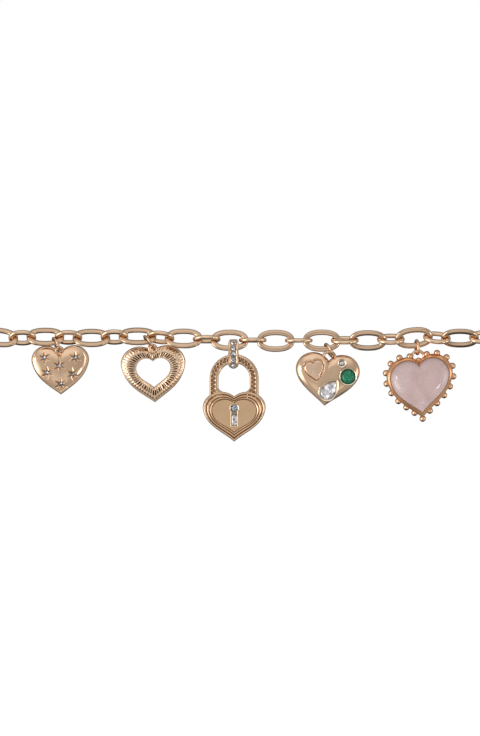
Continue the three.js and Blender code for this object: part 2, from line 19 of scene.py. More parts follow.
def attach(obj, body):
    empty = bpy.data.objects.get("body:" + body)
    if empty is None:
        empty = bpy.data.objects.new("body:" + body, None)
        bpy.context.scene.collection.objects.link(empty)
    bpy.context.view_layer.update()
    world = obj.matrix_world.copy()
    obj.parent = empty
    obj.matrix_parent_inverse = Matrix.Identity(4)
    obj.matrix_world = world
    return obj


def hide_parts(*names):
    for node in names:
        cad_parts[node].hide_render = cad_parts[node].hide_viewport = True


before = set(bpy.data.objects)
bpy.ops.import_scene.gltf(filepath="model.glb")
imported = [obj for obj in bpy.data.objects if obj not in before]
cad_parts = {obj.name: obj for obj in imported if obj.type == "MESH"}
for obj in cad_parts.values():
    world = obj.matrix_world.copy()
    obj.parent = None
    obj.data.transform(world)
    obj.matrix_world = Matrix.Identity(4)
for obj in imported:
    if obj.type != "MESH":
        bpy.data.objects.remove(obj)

log = logging.getLogger("charm_necklace")

MM = 0.001
QUARTER = math.pi / 2
LINE_Y = -113.92  # the front stretch of chain, in mm from the nape
LINE_Z = -117.97

Piece = bpy.types.Object
Socket = bpy.types.NodeSocket
Value = float | tuple | Vector | Socket  # what an input takes
Points = np.ndarray  # point, coordinate
Rings = np.ndarray  # ring, point round the ring, coordinate


class Body(Enum):
    """The necklace's moving parts."""

    NECKLACE = "necklace"
    BAIL = "bail"
    PADLOCK = "padlock"


class Slot(Enum):
    """The record's material slots."""

    GOLD = "gold"
    ROSE_GOLD = "rose_gold"
    CRYSTAL = "crystal"
    GREEN = "green_stone"
    PINK = "pink_stone"


class Hold(Enum):
    """How sharp a mesh's edges stay: the angle, in degrees, from which an edge is not smoothed."""

    FACETED = 1
    CRISP = 35
    SOFT = 60


# ---- finishes ----


class Tree:
    """A node tree with a short way to add to it."""

    def __init__(self, tree: bpy.types.NodeTree) -> None:
        """Holds the tree."""
        self.nodes, self.links = tree.nodes, tree.links

    def feed(self, socket: Socket, value: Value) -> None:
        """Links an input from another socket, or sets its value.

        Args:
            socket: The input.
            value: What it takes.
        """
        if isinstance(value, Socket):
            self.links.new(value, socket)
        else:
            socket.default_value = value

    def add(self, kind: str, inputs: dict[str | int, Value], **settings: str | int) -> bpy.types.Node:
        """Adds a node.

        Args:
            kind: The kind of node.
            inputs: What each input takes, by the input's name or number.
            settings: The node's own settings.

        Returns:
            The node.
        """
        node = self.nodes.new(f"ShaderNode{kind}")
        for name, setting in settings.items():
            setattr(node, name, setting)
        for name, value in inputs.items():
            self.feed(node.inputs[name], value)
        return node


class Shader(Tree):
    """A material's nodes, with its pattern on Object coordinates."""

    def __init__(self, name: str) -> None:
        """Starts a material.

        Args:
            name: The material's name.
        """
        self.material = bpy.data.materials.new(name)
        self.material.use_nodes = True
        super().__init__(self.material.node_tree)
        self.surface = self.nodes["Principled BSDF"]
        self.place = self.add("TexCoord", {}).outputs["Object"]

    def set(self, **values: Value) -> None:
        """Sets or links the surface's own inputs, named with underscores."""
        for name, value in values.items():
            self.feed(self.surface.inputs[name.replace("_", " ")], value)

    def noise(self, size_mm: float, detail: float, stretch: float = 1.0, swirl: float = 0.0) -> Socket:
        """Adds noise.

        Args:
            size_mm: About the size of its features.
            detail: Its number of finer octaves.
            stretch: How much longer it is along z.
            swirl: How much it swirls.

        Returns:
            The noise's value.
        """
        mapping = self.add("Mapping", {"Vector": self.place, "Scale": (1, 1, 1 / stretch)})
        inputs = {"Vector": mapping.outputs["Vector"], "Scale": 1 / (size_mm * MM), "Detail": detail}
        return self.add("TexNoise", {**inputs, "Distortion": swirl}).outputs["Fac"]

    def cells(self, size_mm: float) -> Socket:
        """Adds flat cells of about the given size, and returns each one's own value."""
        cells = self.add("TexVoronoi", {"Vector": self.place, "Scale": 1 / (size_mm * MM)})
        return self.add("SeparateColor", {"Color": cells.outputs["Color"]}).outputs["Red"]

    def ramp(self, value: Socket, stops: Sequence[tuple[float, tuple]]) -> Socket:
        """Colours a value.

        Args:
            value: The value.
            stops: Positions and their colours.

        Returns:
            The colour.
        """
        node = self.add("ValToRGB", {"Fac": value})
        elements = node.color_ramp.elements
        while len(elements) < len(stops):
            elements.new(0.5)
        for element, (position, colour) in zip(elements, stops):
            element.position, element.color = position, (*colour, 1)
        return node.outputs["Color"]

    def span(self, value: Socket, low: float, high: float) -> Socket:
        """Maps a value's middle range onto the one from low to high, and returns the new value."""
        inputs = {"Value": value, "From Min": 0.3, "From Max": 0.7, "To Min": low, "To Max": high}
        return self.add("MapRange", inputs).outputs["Result"]

    def painted_hollow_shade(self, tone: Socket, reach_mm: float, deep: tuple, open_at: float, shut_at: float) -> Socket:
        """Paints shade into a colour where it lies in a hollow.

        Args:
            tone: The colour.
            reach_mm: How far the walls of a hollow may be.
            deep: The painted shade colour it is multiplied with deep in a hollow.
            open_at: How open a place is once nothing darkens it.
            shut_at: How open a place is when it is darkest.

        Returns:
            The colour with its painted shade.
        """
        # painted shade: an ambient occlusion reading darkens the colour in hollows
        node = self.add("AmbientOcclusion", {"Distance": reach_mm * MM}, samples=6)
        shade = self.ramp(node.outputs["AO"], ((shut_at, deep), (open_at, (1, 1, 1))))
        return self.add("Mix", {0: 1, 6: tone, 7: shade}, data_type="RGBA", blend_type="MULTIPLY").outputs[2]

    def bump(self, value: Socket, height_mm: float, **under: Socket) -> Socket:
        """Adds bump from a value, over the Normal given if any, and returns the new normal."""
        inputs = {"Height": value, "Strength": 1, "Distance": height_mm * MM, **under}
        return self.add("Bump", inputs).outputs["Normal"]


def scaled(colour: tuple, share: float) -> tuple:
    """Returns a colour made darker."""
    return tuple(part * share for part in colour)


@dataclass(frozen=True)
class MetalFinish:
    """Polished or satin plated metal with fine handling marks and painted shade in its hollows."""

    name: str
    colour: tuple
    deep: tuple  # the painted shade colour that hollows take
    roughness: float
    waviness: float = 0.03
    open_at: float = 0.8  # how open a place is once it has the full colour
    shut_at: float = 0.15  # how open a place is when it has the full painted shade
    reach_mm: float = 0.7  # how far the walls whose painted shade darkens a hollow may be
    slot: Slot = Slot.GOLD

    @cache
    def material(self) -> bpy.types.Material:
        """Makes the metal.

        Returns:
            The material.
        """
        shader = Shader(self.name)
        tone = shader.ramp(shader.noise(3.5, 2), ((0.3, scaled(self.colour, 0.93)), (0.7, self.colour)))
        marks = shader.noise(0.5, 4, stretch=4)
        soft = shader.bump(shader.noise(2.2, 2), self.waviness)
        shader.set(
            Metallic=1.0,
            # base colour with painted shade in its hollows, grooves and between links
            Base_Color=shader.painted_hollow_shade(tone, self.reach_mm, self.deep, self.open_at, self.shut_at),
            Roughness=shader.span(marks, self.roughness * 0.85, self.roughness * 1.2),
            Normal=shader.bump(marks, 0.0006, Normal=soft),
        )
        return shader.material


@dataclass(frozen=True)
class CrystalFinish:
    """A clear faceted stone on a bright foil, its facets' reflections painted on as dark and bright patches.
    """

    name: str
    colour: tuple
    facet_mm: float
    shade: float  # of the painted dark facet reflections
    mirror: float = 0.9  # how much of the light the foil throws straight back
    slot: Slot = Slot.CRYSTAL

    @cache
    def material(self) -> bpy.types.Material:
        """Makes the stone.

        Returns:
            The material.
        """
        shader = Shader(self.name)
        shader.set(Metallic=self.mirror, Roughness=0.05, Coat_Weight=1.0, Coat_Roughness=0.02)
        # painted reflections: dark, mid and bright patches stand for the facets' reflections
        dark, mid = scaled(self.colour, self.shade), scaled(self.colour, 0.55)
        stops = ((0.28, dark), (0.36, mid), (0.5, mid), (0.6, self.colour))
        shader.set(Base_Color=shader.ramp(shader.cells(self.facet_mm), stops))
        return shader.material


@dataclass(frozen=True)
class GreenFinish:
    """Deep green speckled stone, with painted shade near its setting's wall."""

    name: str
    slot: Slot = Slot.GREEN

    @cache
    def material(self) -> bpy.types.Material:
        """Makes the stone.

        Returns:
            The material.
        """
        shader = Shader(self.name)
        shader.set(Roughness=0.15, Coat_Weight=0.5, Coat_Roughness=0.04, IOR=1.5, Specular_IOR_Level=0.3)
        stops = ((0.3, (0.001, 0.03, 0.015)), (0.5, (0.002, 0.1, 0.047)), (0.72, (0.01, 0.22, 0.11)))
        tone = shader.ramp(shader.noise(0.55, 4, swirl=0.6), stops)
        # painted shade where the stone meets its setting's wall
        shader.set(Base_Color=shader.painted_hollow_shade(tone, 0.9, (0.08, 0.14, 0.1), 0.8, 0.15))
        return shader.material


@dataclass(frozen=True)
class QuartzFinish:
    """Pale cloudy pink stone."""

    name: str
    slot: Slot = Slot.PINK

    @cache
    def material(self) -> bpy.types.Material:
        """Makes the stone.

        Returns:
            The material.
        """
        shader = Shader(self.name)
        shader.set(Roughness=0.3, Coat_Weight=1.0, Coat_Roughness=0.06, Coat_IOR=1.62, IOR=1.54)
        stops = ((0.25, (0.31, 0.215, 0.2)), (0.5, (0.365, 0.26, 0.25)), (0.75, (0.39, 0.3, 0.3)))
        cloud = shader.noise(5.0, 3, stretch=1.6, swirl=0.8)
        shader.set(Specular_IOR_Level=0.3, Base_Color=shader.ramp(cloud, stops))
        return shader.material


class Finish(Enum):
    """Every finish of the necklace."""

    # each metal's second colour is the painted shade that its hollows take
    GOLD = MetalFinish("gold_polished", (0.92, 0.645, 0.44), (0.27, 0.18, 0.12), 0.14, open_at=0.85)
    # PALE is a paler copy of the gold, as painted highlight on the setting walls
    PALE = MetalFinish("pale_gold_polished", (0.99, 0.83, 0.64), (0.5, 0.33, 0.2), 0.13, 0.015)
    FLUTED = MetalFinish(
        "gold_fluted", (0.94, 0.68, 0.475), (0.2, 0.09, 0.035), 0.15, 0.01,
        open_at=0.75, shut_at=0.35, reach_mm=0.38,
    )
    BRAID = MetalFinish("gold_braided", (0.85, 0.59, 0.39), (0.12, 0.05, 0.02), 0.18, 0.01, open_at=0.7)
    # CHAIN is a darker copy of the gold, as painted shade on the chain's faces; LINK is a paler copy, as
    # painted highlight on the short links
    CHAIN = MetalFinish("gold_chain", (0.76, 0.535, 0.365), (0.42, 0.24, 0.13), 0.15, 0.02)
    LINK = MetalFinish("gold_small_link", (0.96, 0.69, 0.47), (0.5, 0.28, 0.14), 0.13, 0.02)
    SATIN = MetalFinish(
        "gold_satin", (0.97, 0.65, 0.4), (0.4, 0.22, 0.11), 0.2, 0.02, open_at=0.75, reach_mm=0.4
    )
    RIM = MetalFinish(
        "gold_rim", (0.9, 0.65, 0.435), (0.44, 0.3, 0.19), 0.17, 0.012, open_at=0.75, reach_mm=0.4
    )
    ROSE = MetalFinish(
        "rose_gold_polished", (0.94, 0.61, 0.39), (0.35, 0.14, 0.06), 0.1, 0.01, slot=Slot.ROSE_GOLD
    )
    COPPER = MetalFinish(
        "rose_gold_deep", (0.94, 0.5, 0.26), (0.55, 0.28, 0.15), 0.13, 0.01, slot=Slot.ROSE_GOLD
    )
    BLUSH = MetalFinish("blush_gold_satin", (1.0, 0.72, 0.53), (0.35, 0.15, 0.08), 0.25)
    CHANNEL = MetalFinish("channel_grey", (0.5, 0.42, 0.33), (0.2, 0.13, 0.08), 0.3)
    CRYSTAL = CrystalFinish("crystal_foiled", (0.8, 0.79, 0.82), 0.45, 0.24)
    COOL = CrystalFinish("crystal_cool", (0.5, 0.56, 0.64), 0.35, 0.06)
    BRILLIANT = CrystalFinish("crystal_large", (0.95, 0.93, 0.99), 0.95, 0.34, 0.6)
    GREEN = GreenFinish("green_speckled")
    QUARTZ = QuartzFinish("quartz_cloudy")

    def dress(self, piece: Piece) -> None:
        """Gives a piece this finish.

        Args:
            piece: The piece.
        """
        piece.data.materials.clear()
        piece.data.materials.append(self.value.material())


# ---- modelling helpers ----


def deselect() -> None:
    """Deselects every object."""
    bpy.ops.object.select_all(action="DESELECT")


def select(*pieces: Piece) -> None:
    """Selects these objects alone and makes the first active.

    Args:
        pieces: The objects.
    """
    deselect()
    for piece in pieces:
        piece.select_set(True)
    bpy.context.view_layer.objects.active = pieces[0]


def net(name: str, rings: Rings | list, capped: bool = True) -> Piece:
    """Shapes a sphere or a torus over rings of points.

    Args:
        name: The object's name.
        rings: The rings, from one end to the other, or in turn round the section.
        capped: Whether both ends are closed by a point at the end ring's middle. If not, the last
            ring lies next to the first.

    Returns:
        The object, its faces outwards.
    """
    many, count = len(rings), len(rings[0])
    deselect()
    if capped:
        bpy.ops.mesh.primitive_uv_sphere_add(segments=count, ring_count=many + 1, radius=1)
        ends = [np.tile(np.mean(ring, axis=0), (count, 1)) for ring in (rings[0], rings[-1])]
        rings = [ends[0], *rings, ends[1]]
    else:
        bpy.ops.mesh.primitive_torus_add(
            major_segments=count, minor_segments=many, major_radius=1, minor_radius=0.25
        )
    piece = bpy.context.active_object
    piece.name = name
    flat = np.empty(len(piece.data.vertices) * 3, dtype=np.float32)
    piece.data.vertices.foreach_get("co", flat)
    x, y, z = flat.reshape(-1, 3).astype(float).T
    column = np.rint(np.arctan2(y, x) / math.tau * count).astype(int) % count
    if capped:
        row = np.rint(np.arccos(np.clip(z, -1, 1)) / math.pi * (many + 1)).astype(int)
    else:
        row = np.rint(np.arctan2(z, np.hypot(x, y) - 1) / math.tau * many).astype(int) % many
    piece.data.vertices.foreach_set("co", np.array(rings)[row, column].astype(np.float32).ravel())
    piece.data.update()
    select(piece)
    bpy.ops.object.mode_set(mode="EDIT")
    bpy.ops.mesh.select_all(action="SELECT")
    bpy.ops.mesh.normals_make_consistent(inside=False)
    bpy.ops.object.mode_set(mode="OBJECT")
    return piece


def joined(name: str, pieces: Sequence[Piece]) -> Piece:
    """Joins objects in one.

    Args:
        name: The joined object's name.
        pieces: The objects.

    Returns:
        The joined object.
    """
    select(*pieces)
    bpy.ops.object.join()
    pieces[0].name = name
    return pieces[0]


def copied(piece: Piece, name: str) -> Piece:
    """Copies an object with its own mesh.

    Args:
        piece: The object.
        name: The copy's name.

    Returns:
        The copy.
    """
    copy = piece.copy()
    copy.data = piece.data.copy()
    copy.name = name
    bpy.context.collection.objects.link(copy)
    return copy


def placed(piece: Piece, matrix: Matrix) -> Piece:
    """Moves an object and puts the move in its mesh.

    Args:
        piece: The object, at the origin.
        matrix: The move.

    Returns:
        The object.
    """
    select(piece)
    piece.matrix_world = matrix
    bpy.ops.object.transform_apply(location=True, rotation=True, scale=True)
    return piece


def turned(angle: float, axis: str | Vector) -> Matrix:
    """Returns a turn by degrees about an axis."""
    return Matrix.Rotation(math.radians(angle), 4, axis)


def shifted(piece: Piece, x: float, y: float, z: float, turn: float = 0) -> Piece:
    """Moves an object in its charm, turned about z by degrees first, and returns it."""
    return placed(piece, Matrix.Translation((x, y, z)) @ turned(turn, "Z"))


def eased(value: Points | float, low: float, high: float) -> Points:
    """Rises smoothly from 0 at low to 1 at high."""
    share = np.clip((value - low) / (high - low), 0, 1)
    return share * share * (3 - 2 * share)


def even_turns(count: int) -> Points:
    """Returns count angles evenly round a turn."""
    return np.arange(count) / count * math.tau


def oval(half_x: float, half_y: float, count: int, squareness: float = 2.0) -> Points:
    """Draws an oval.

    Args:
        half_x: Half its length along x.
        half_y: Half its length along y.
        count: The number of points.
        squareness: 2 for an ellipse, and more for a rounded oblong.

    Returns:
        The points.
    """
    turns = even_turns(count)
    sides = [np.sign(side) * np.abs(side) ** (2 / squareness) for side in (np.cos(turns), np.sin(turns))]
    return np.column_stack([half_x * sides[0], half_y * sides[1]])


def evenly(path: Points, count: int) -> Points:
    """Parts a path in equal lengths.

    Args:
        path: The path's points.
        count: The number of lengths.

    Returns:
        The points between them, and the path's two ends.
    """
    run = np.concatenate([[0], np.cumsum(np.linalg.norm(np.diff(path, axis=0), axis=1))])
    at = np.linspace(0, run[-1], count + 1)
    return np.column_stack([np.interp(at, run, path[:, axis]) for axis in (0, 1)])


def lifted(outline: Points, z: float | Points) -> Points:
    """Returns an outline at a height, or with each point at its own."""
    return np.column_stack([outline, np.broadcast_to(z, len(outline))])


def faceted(name: str, outline: Points, steps: Sequence[tuple], middle: float = 0.0) -> Piece:
    """Makes a faceted stone, its table up.

    Args:
        name: The object's name.
        outline: The stone's outline, with an even number of points.
        steps: From the foot to the table, the share of the outline at even and at odd points, and z
            at even and at odd points.
        middle: The x of its middle.

    Returns:
        The object.
    """
    odd = np.arange(len(outline)) % 2
    rings = []
    for even_share, odd_share, even_z, odd_z in steps:
        share = np.where(odd, odd_share, even_share)[:, None]
        flat = (middle, 0) + (outline - (middle, 0)) * share
        rings.append(lifted(flat, np.where(odd, odd_z, even_z)))
    return net(name, rings)


def brilliant(name: str, diameter: float, height: float) -> Piece:
    """Makes a round stone on z = 0.

    Args:
        name: The object's name.
        diameter: Its diameter.
        height: Its height.

    Returns:
        The object.
    """
    steps = (
        (0.5, 0.5, 0, 0), (1, 1, 0.3, 0.3), (1, 1, 0.42, 0.42), (0.82, 0.74, 0.66, 0.86), (0.46, 0.5, 1, 1),
        (0.2, 0.2, 1, 0.9),
    )
    levels = [(*step[:2], height * step[2], height * step[3]) for step in steps]
    return faceted(name, oval(diameter / 2, diameter / 2, 16), levels)


def cup(
    name: str, outlines: Callable[[float], Points], lip: float, foot: float, rim: float, slope: float
) -> Piece:
    """Makes a setting's wall, its top sloping in towards the stone.

    Args:
        name: The object's name.
        outlines: The wall's inner outline, grown by a distance.
        lip: The wall's thickness.
        foot: The z of its foot.
        rim: The z of its rim.
        slope: How much lower the top is at the stone.

    Returns:
        The object.
    """
    section = (
        (lip + 0.12, foot), (lip + 0.02, foot + (rim - foot) * 0.4), (lip, rim - 0.12),
        (lip - 0.02, rim - 0.04), (lip - 0.06, rim), (lip - 0.12, rim - 0.02),
        (0.04, rim - slope), (0, rim - slope - 0.06), (0, foot),
    )
    return net(name, [lifted(outlines(grow), z) for grow, z in section], capped=False)


def circle(diameter: float) -> Callable[[float], Points]:
    """Returns the outlines of a round setting."""
    return lambda grow: oval(diameter / 2 + grow, diameter / 2 + grow, 48)


@dataclass(frozen=True)
class OvalRing:
    """An oval or round ring of wire."""

    length: float
    width: float
    wire: float
    steps: int = 40  # along the ring
    sides: int = 14  # round the wire
    squareness: float = 2.0
    section: float = 2.0  # the wire's own squareness
    thin: float = 1.0  # its depth, of its width

    def build(self, name: str) -> Piece:
        """Makes the ring in the xy plane, its length along x.

        Args:
            name: The object's name.

        Returns:
            The object.
        """
        half = np.array([self.length - self.wire, self.width - self.wire]) / 2
        fine = oval(*half, self.steps * 16, self.squareness)
        middle = evenly(np.vstack([fine, fine[:1]]), self.steps)[:-1]
        slope = np.sign(middle) * np.abs(middle / half) ** (self.squareness - 1) / half
        out = slope / np.linalg.norm(slope, axis=1, keepdims=True)
        section = oval(self.wire / 2, self.wire / 2 * self.thin, self.sides, self.section)
        return net(name, [lifted(middle + out * across, up) for across, up in section], capped=False)


@dataclass(frozen=True)
class HeartSize:
    """A heart's outline, with its lobes' tops at y = top and its tip below."""

    width: float
    height: float
    notch: float
    top: float = 0.0
    tip_angle: float = 41.0  # how steep its sides are at the tip, in degrees
    lobe_end: float = -14.0  # where a lobe's arc ends, in degrees from level
    hold: float = 0.34  # how far each end of a side keeps its direction, of the side's length
    growth: float = 2.3  # how much its height loses for each mm that it is drawn in
    crown: float = 1.0  # how much of that its lobes sink by
    squash: float = 1.0  # how flat its lobes are
    middle: float = 0.42  # how far down it shrinks towards, of its height

    def inset(self, by: float, notch: float | None = None) -> "HeartSize":
        """Draws the heart in evenly.

        Args:
            by: The distance.
            notch: Its own notch, if it has one.

        Returns:
            The smaller heart.
        """
        kept = self.notch * (1 - 2 * by / self.width) if notch is None else notch
        width, height = self.width - 2 * by, self.height - self.growth * by
        return replace(self, width=width, height=height, notch=kept, top=self.top - self.crown * by)

    def shrunk(self, share: float, soften: float = 1.4) -> "HeartSize":
        """Draws the heart in towards its middle.

        Args:
            share: The share.
            soften: How much faster its notch fades.

        Returns:
            The smaller heart.
        """
        left, top = 1 - share, self.top - self.middle * self.height * share
        notch = self.notch * left**soften
        return replace(self, width=self.width * left, height=self.height * left, notch=notch, top=top)

    def outline(self, count: int) -> Points:
        """Draws the outline from the notch round the right side to the tip and back.

        Args:
            count: The number of points, which is even.

        Returns:
            The points.
        """
        half, flat = self.width / 2, np.array([1, self.squash])
        notch = self.notch / self.squash
        lobe = half + notch - math.sqrt(2 * half * notch)
        centre = half - lobe
        start, end = math.atan2(lobe - notch, -centre), math.radians(self.lobe_end)
        arc = np.linspace(start, end, 200)
        lobes = np.column_stack([centre + lobe * np.cos(arc), lobe * np.sin(arc) - lobe]) * flat
        side, tip = lobes[-1], np.array([0, -self.height])
        reach = np.linalg.norm(side - tip) * self.hold
        slope = math.radians(self.tip_angle)
        low = tip + reach * np.array([math.cos(slope), math.sin(slope)])
        high = side + reach * np.array([math.sin(end), -math.cos(end)])
        t = np.linspace(0, 1, 200)[1:, None]
        sides = (1 - t) ** 3 * side + 3 * (1 - t) ** 2 * t * high + 3 * (1 - t) * t**2 * low + t**3 * tip
        right = evenly(np.vstack([lobes, sides]), count // 2)
        return np.vstack([right, right[-2:0:-1] * (-1, 1)]) + (0, self.top)


Levels = list[tuple[HeartSize, float]]  # hearts and their heights


def heart(name: str, levels: Levels, count: int) -> Piece:
    """Makes a closed shape over hearts of count points each."""
    return net(name, heart_rings(levels, count))


def heart_rings(levels: Levels, count: int) -> Rings:
    """Draws hearts of count points each at their heights."""
    return np.array([lifted(size.outline(count), z) for size, z in levels])


def fill(size: HeartSize, z: float, *shares: float) -> Levels:
    """Lists flat levels, drawn in towards the middle by the shares."""
    return [(size.shrunk(share), z) for share in shares]


def roll(
    size: HeartSize, turns: Sequence[float], across: float, z: float, rise: float, start: float = 0.0,
    **notch: float,
) -> Levels:
    """Lists levels round a bead.

    Args:
        size: The heart it starts from.
        turns: The angles round it, in degrees, from 0 at its outside to 90 at its top.
        across: Half its width.
        z: The height of its middle.
        rise: How much higher its top is.
        start: How far in it starts.
        notch: The levels' own notch, if given.

    Returns:
        The levels.
    """
    angles = [math.radians(turn) for turn in turns]
    return [(size.inset(start + across * (1 - math.cos(a)), **notch), z + rise * math.sin(a)) for a in angles]


def rounded_back(size: HeartSize, half: float, round_by: float) -> Levels:
    """Lists a heart's levels from the middle of its flat back round to its full width.

    Args:
        size: The heart at its widest.
        half: How far behind z = 0 its back is.
        round_by: The radius of the back's edge.

    Returns:
        The levels.
    """
    start, border, sink = size.inset(round_by), 0.7, 0.14
    levels = fill(start.inset(border), sink - half, 0.97, 0.8, 0.6, 0.4, 0.2, 0.08, 0.0)
    edge = ((border - 0.08, 0.03 - half), (border - 0.2, -half), (0.1, -half))
    levels += [(start.inset(away), z) for away, z in edge]
    return levels + roll(size, np.linspace(-90, 0, 7), round_by, round_by - half, round_by)


@dataclass(frozen=True)
class CharmPlace:
    """Where a charm hangs from the chain's line, in mm and degrees."""

    x: float
    top: float
    z: float
    tilt: float = 0.0

    def matrix(self) -> Matrix:
        """Works out the charm's move.

        Returns:
            The move from the charm's millimetres to the necklace's metres.
        """
        line = Matrix.Translation((0, LINE_Y, LINE_Z)) @ turned(90, "X")
        hung = Matrix.Translation((self.x, self.top, self.z))
        return Matrix.Scale(MM, 4) @ line @ hung @ turned(self.tilt, "Z")


@dataclass
class Part:
    """A sub-assembly: the body it rides on and its place."""

    body: Body = Body.NECKLACE
    place: CharmPlace = CharmPlace(0, 0, 0)

    def ready(
        self, piece: Piece, finish: Finish, *solids: str, hold: Hold = Hold.CRISP, move: Matrix | None = None
    ) -> None:
        """Finishes a piece: shades it, dresses it, places it and lets it ride.

        Args:
            piece: The piece.
            finish: Its finish.
            solids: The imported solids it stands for.
            hold: How sharp its edges stay.
            move: Its move into the necklace's frame, where it isn't the part's own.
        """
        select(piece)
        bpy.ops.object.shade_smooth_by_angle(angle=math.radians(hold.value))
        finish.dress(piece)
        placed(piece, self.place.matrix() if move is None else move)
        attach(piece, self.body.value)
        if solids:
            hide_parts(*solids)
        log.info("%s: %d faces, on %s", piece.name, len(piece.data.polygons), self.body.value)


# ---- the chain ----


@dataclass(frozen=True)
class Route:
    """The loop's line: a level front, two rounded corners, straight sides and a round back."""

    tilt: float = 46.0
    front_half: float = 62.0
    front_radius: float = 30.0
    side: float = 64.0
    back_radius: float = 70.0
    step: float = 6.45
    middle_x: float = -2.9
    last: tuple = (44, 46)  # the number of the last link on the left and on the right

    def at(self, along: float) -> tuple[Vector, Vector, Vector]:
        """Follows the line.

        Args:
            along: The length along the line from its front's middle.

        Returns:
            The point there, the heading and the loop's plane's normal.
        """
        flat, steep = math.cos(math.radians(self.tilt)), math.sin(math.radians(self.tilt))
        down, normal = Vector((0, -flat, -steep)), Vector((0, -steep, flat))
        across, heading, left = 0.0, 0.0, abs(along)
        depth = self.front_radius + self.side + self.back_radius
        corners = ((self.front_half, self.front_radius), (self.side, self.back_radius))
        for straight, radius in (*corners, (math.inf, 1)):
            step = min(left, straight)
            across, depth = across + step * math.cos(heading), depth - step * math.sin(heading)
            left -= step
            turn = min(left / radius, QUARTER)
            across += radius * (math.sin(heading + turn) - math.sin(heading))
            depth += radius * (math.cos(heading + turn) - math.cos(heading))
            heading, left = heading + turn, left - radius * turn
        side = math.copysign(1, along)
        point = Vector((side * across, 0, 0)) + down * depth
        return point, Vector((math.cos(heading), 0, 0)) - down * side * math.sin(heading), normal

    def placing(self, along: float, roll: float, lift: float = 0, tilt: float = 0) -> Matrix:
        """Places a ring of wire on the line.

        Args:
            along: Its length along the line.
            roll: Its roll about the line from the loop's plane, in degrees.
            lift: How much higher it lies.
            tilt: How much its right end is raised, in degrees.

        Returns:
            The move from millimetres to the necklace's metres.
        """
        point, tangent, normal = self.at(along)
        normal = turned(roll, tangent).to_3x3() @ normal
        turn = Matrix((tangent, normal.cross(tangent), normal)).transposed().to_4x4()
        lifting = Matrix.Translation(point + Vector((0, 0, lift))) @ turned(tilt, Vector((0, -1, 0)))
        return Matrix.Scale(MM, 4) @ lifting @ turn


@dataclass
class Chain(Part):
    """The cable chain: long and short oval links in turn, counted from the long one at the middle."""

    route: Route = Route()
    front: tuple = (
        OvalRing(10.6, 6.25, 1.56, 72, 24, 2.3, 2.4, 0.74), OvalRing(7.8, 5.3, 1.42, 64, 20, 2.15, 2.2, 0.86)
    )
    sides: tuple = (OvalRing(10.6, 6.15, 1.4, 40, 10, 2.5), OvalRing(7.8, 5.3, 1.25, 36, 10, 2.5))
    own: int = 15  # links on each side of the middle that are pieces of their own
    stretches: int = 3  # pieces that the rest of a side is joined in
    poses: tuple = (  # roll, lift and tilt of the links in view, from the left
        (-34, -0.05), (40, 0.2), (-38, 0.45), (44, 0.3), (-38, 0.15), (41, 0.4), (-41, 0.6), (51, 0.3, -6),
        (-30, 0), (73, -0.2), (-19, -0.5), (87, -0.45), (-6, -0.65), (90, -0.55), (0, -0.6), (107, -0.5),
        (25, -0.55), (119, -0.2), (22, 0.2, 6), (125, 0.2, -5), (36, 0.1), (130, 0.05),
    )
    first: int = -10  # the link that the first pose is for
    reach: int = 11  # the link from which the rolls change evenly to the nape
    side_rolls: tuple = ((8, 96), (82, 172))  # of the left and the right: long, short
    nape_rolls: tuple = (0, 90)

    def placing(self, place: int) -> Matrix:
        """Places a link.

        Args:
            place: The link's number.

        Returns:
            The move from millimetres to the necklace's metres.
        """
        along = self.route.middle_x + place * self.route.step
        if 0 <= place - self.first < len(self.poses):
            roll, *lie = self.poses[place - self.first]
            return self.route.placing(along, 90 - self.route.tilt + roll, *lie)
        right, kind = place > 0, place % 2
        share = (abs(place) - self.reach) / (self.route.last[right] - self.reach)
        start = self.side_rolls[right][kind]
        return self.route.placing(along, start + (self.nape_rolls[kind] - start) * share)

    def build(self) -> None:
        """Builds every link."""
        models = [ring.build("link_model") for ring in self.front]
        plain = [ring.build("side_link_model") for ring in self.sides]
        for place in range(-self.own, self.own + 1):
            # short links take the paler gold as painted highlight, long ones the darker gold as painted shade
            kind, finish = ("short", Finish.LINK) if place % 2 else ("long", Finish.CHAIN)
            node = f"link_{kind}_{place + self.own + 1:02d}"
            link = copied(models[place % 2], f"{node}_wire")
            self.ready(link, finish, node, hold=Hold.SOFT, move=self.placing(place))
        for name, side, last in zip(("left", "right"), (-1, 1), self.route.last):
            places = [side * place for place in range(self.own + 1, last + 1)]
            share = math.ceil(len(places) / self.stretches)
            for index in range(self.stretches):
                own = places[index * share : (index + 1) * share]
                links = [placed(copied(plain[place % 2], "side_link"), self.placing(place)) for place in own]
                node = f"chain_{name}_{index + 1}"
                self.ready(joined(f"{node}_links", links), Finish.CHAIN, node, hold=Hold.SOFT, move=Matrix())
        for model in (*models, *plain):
            bpy.data.objects.remove(model)


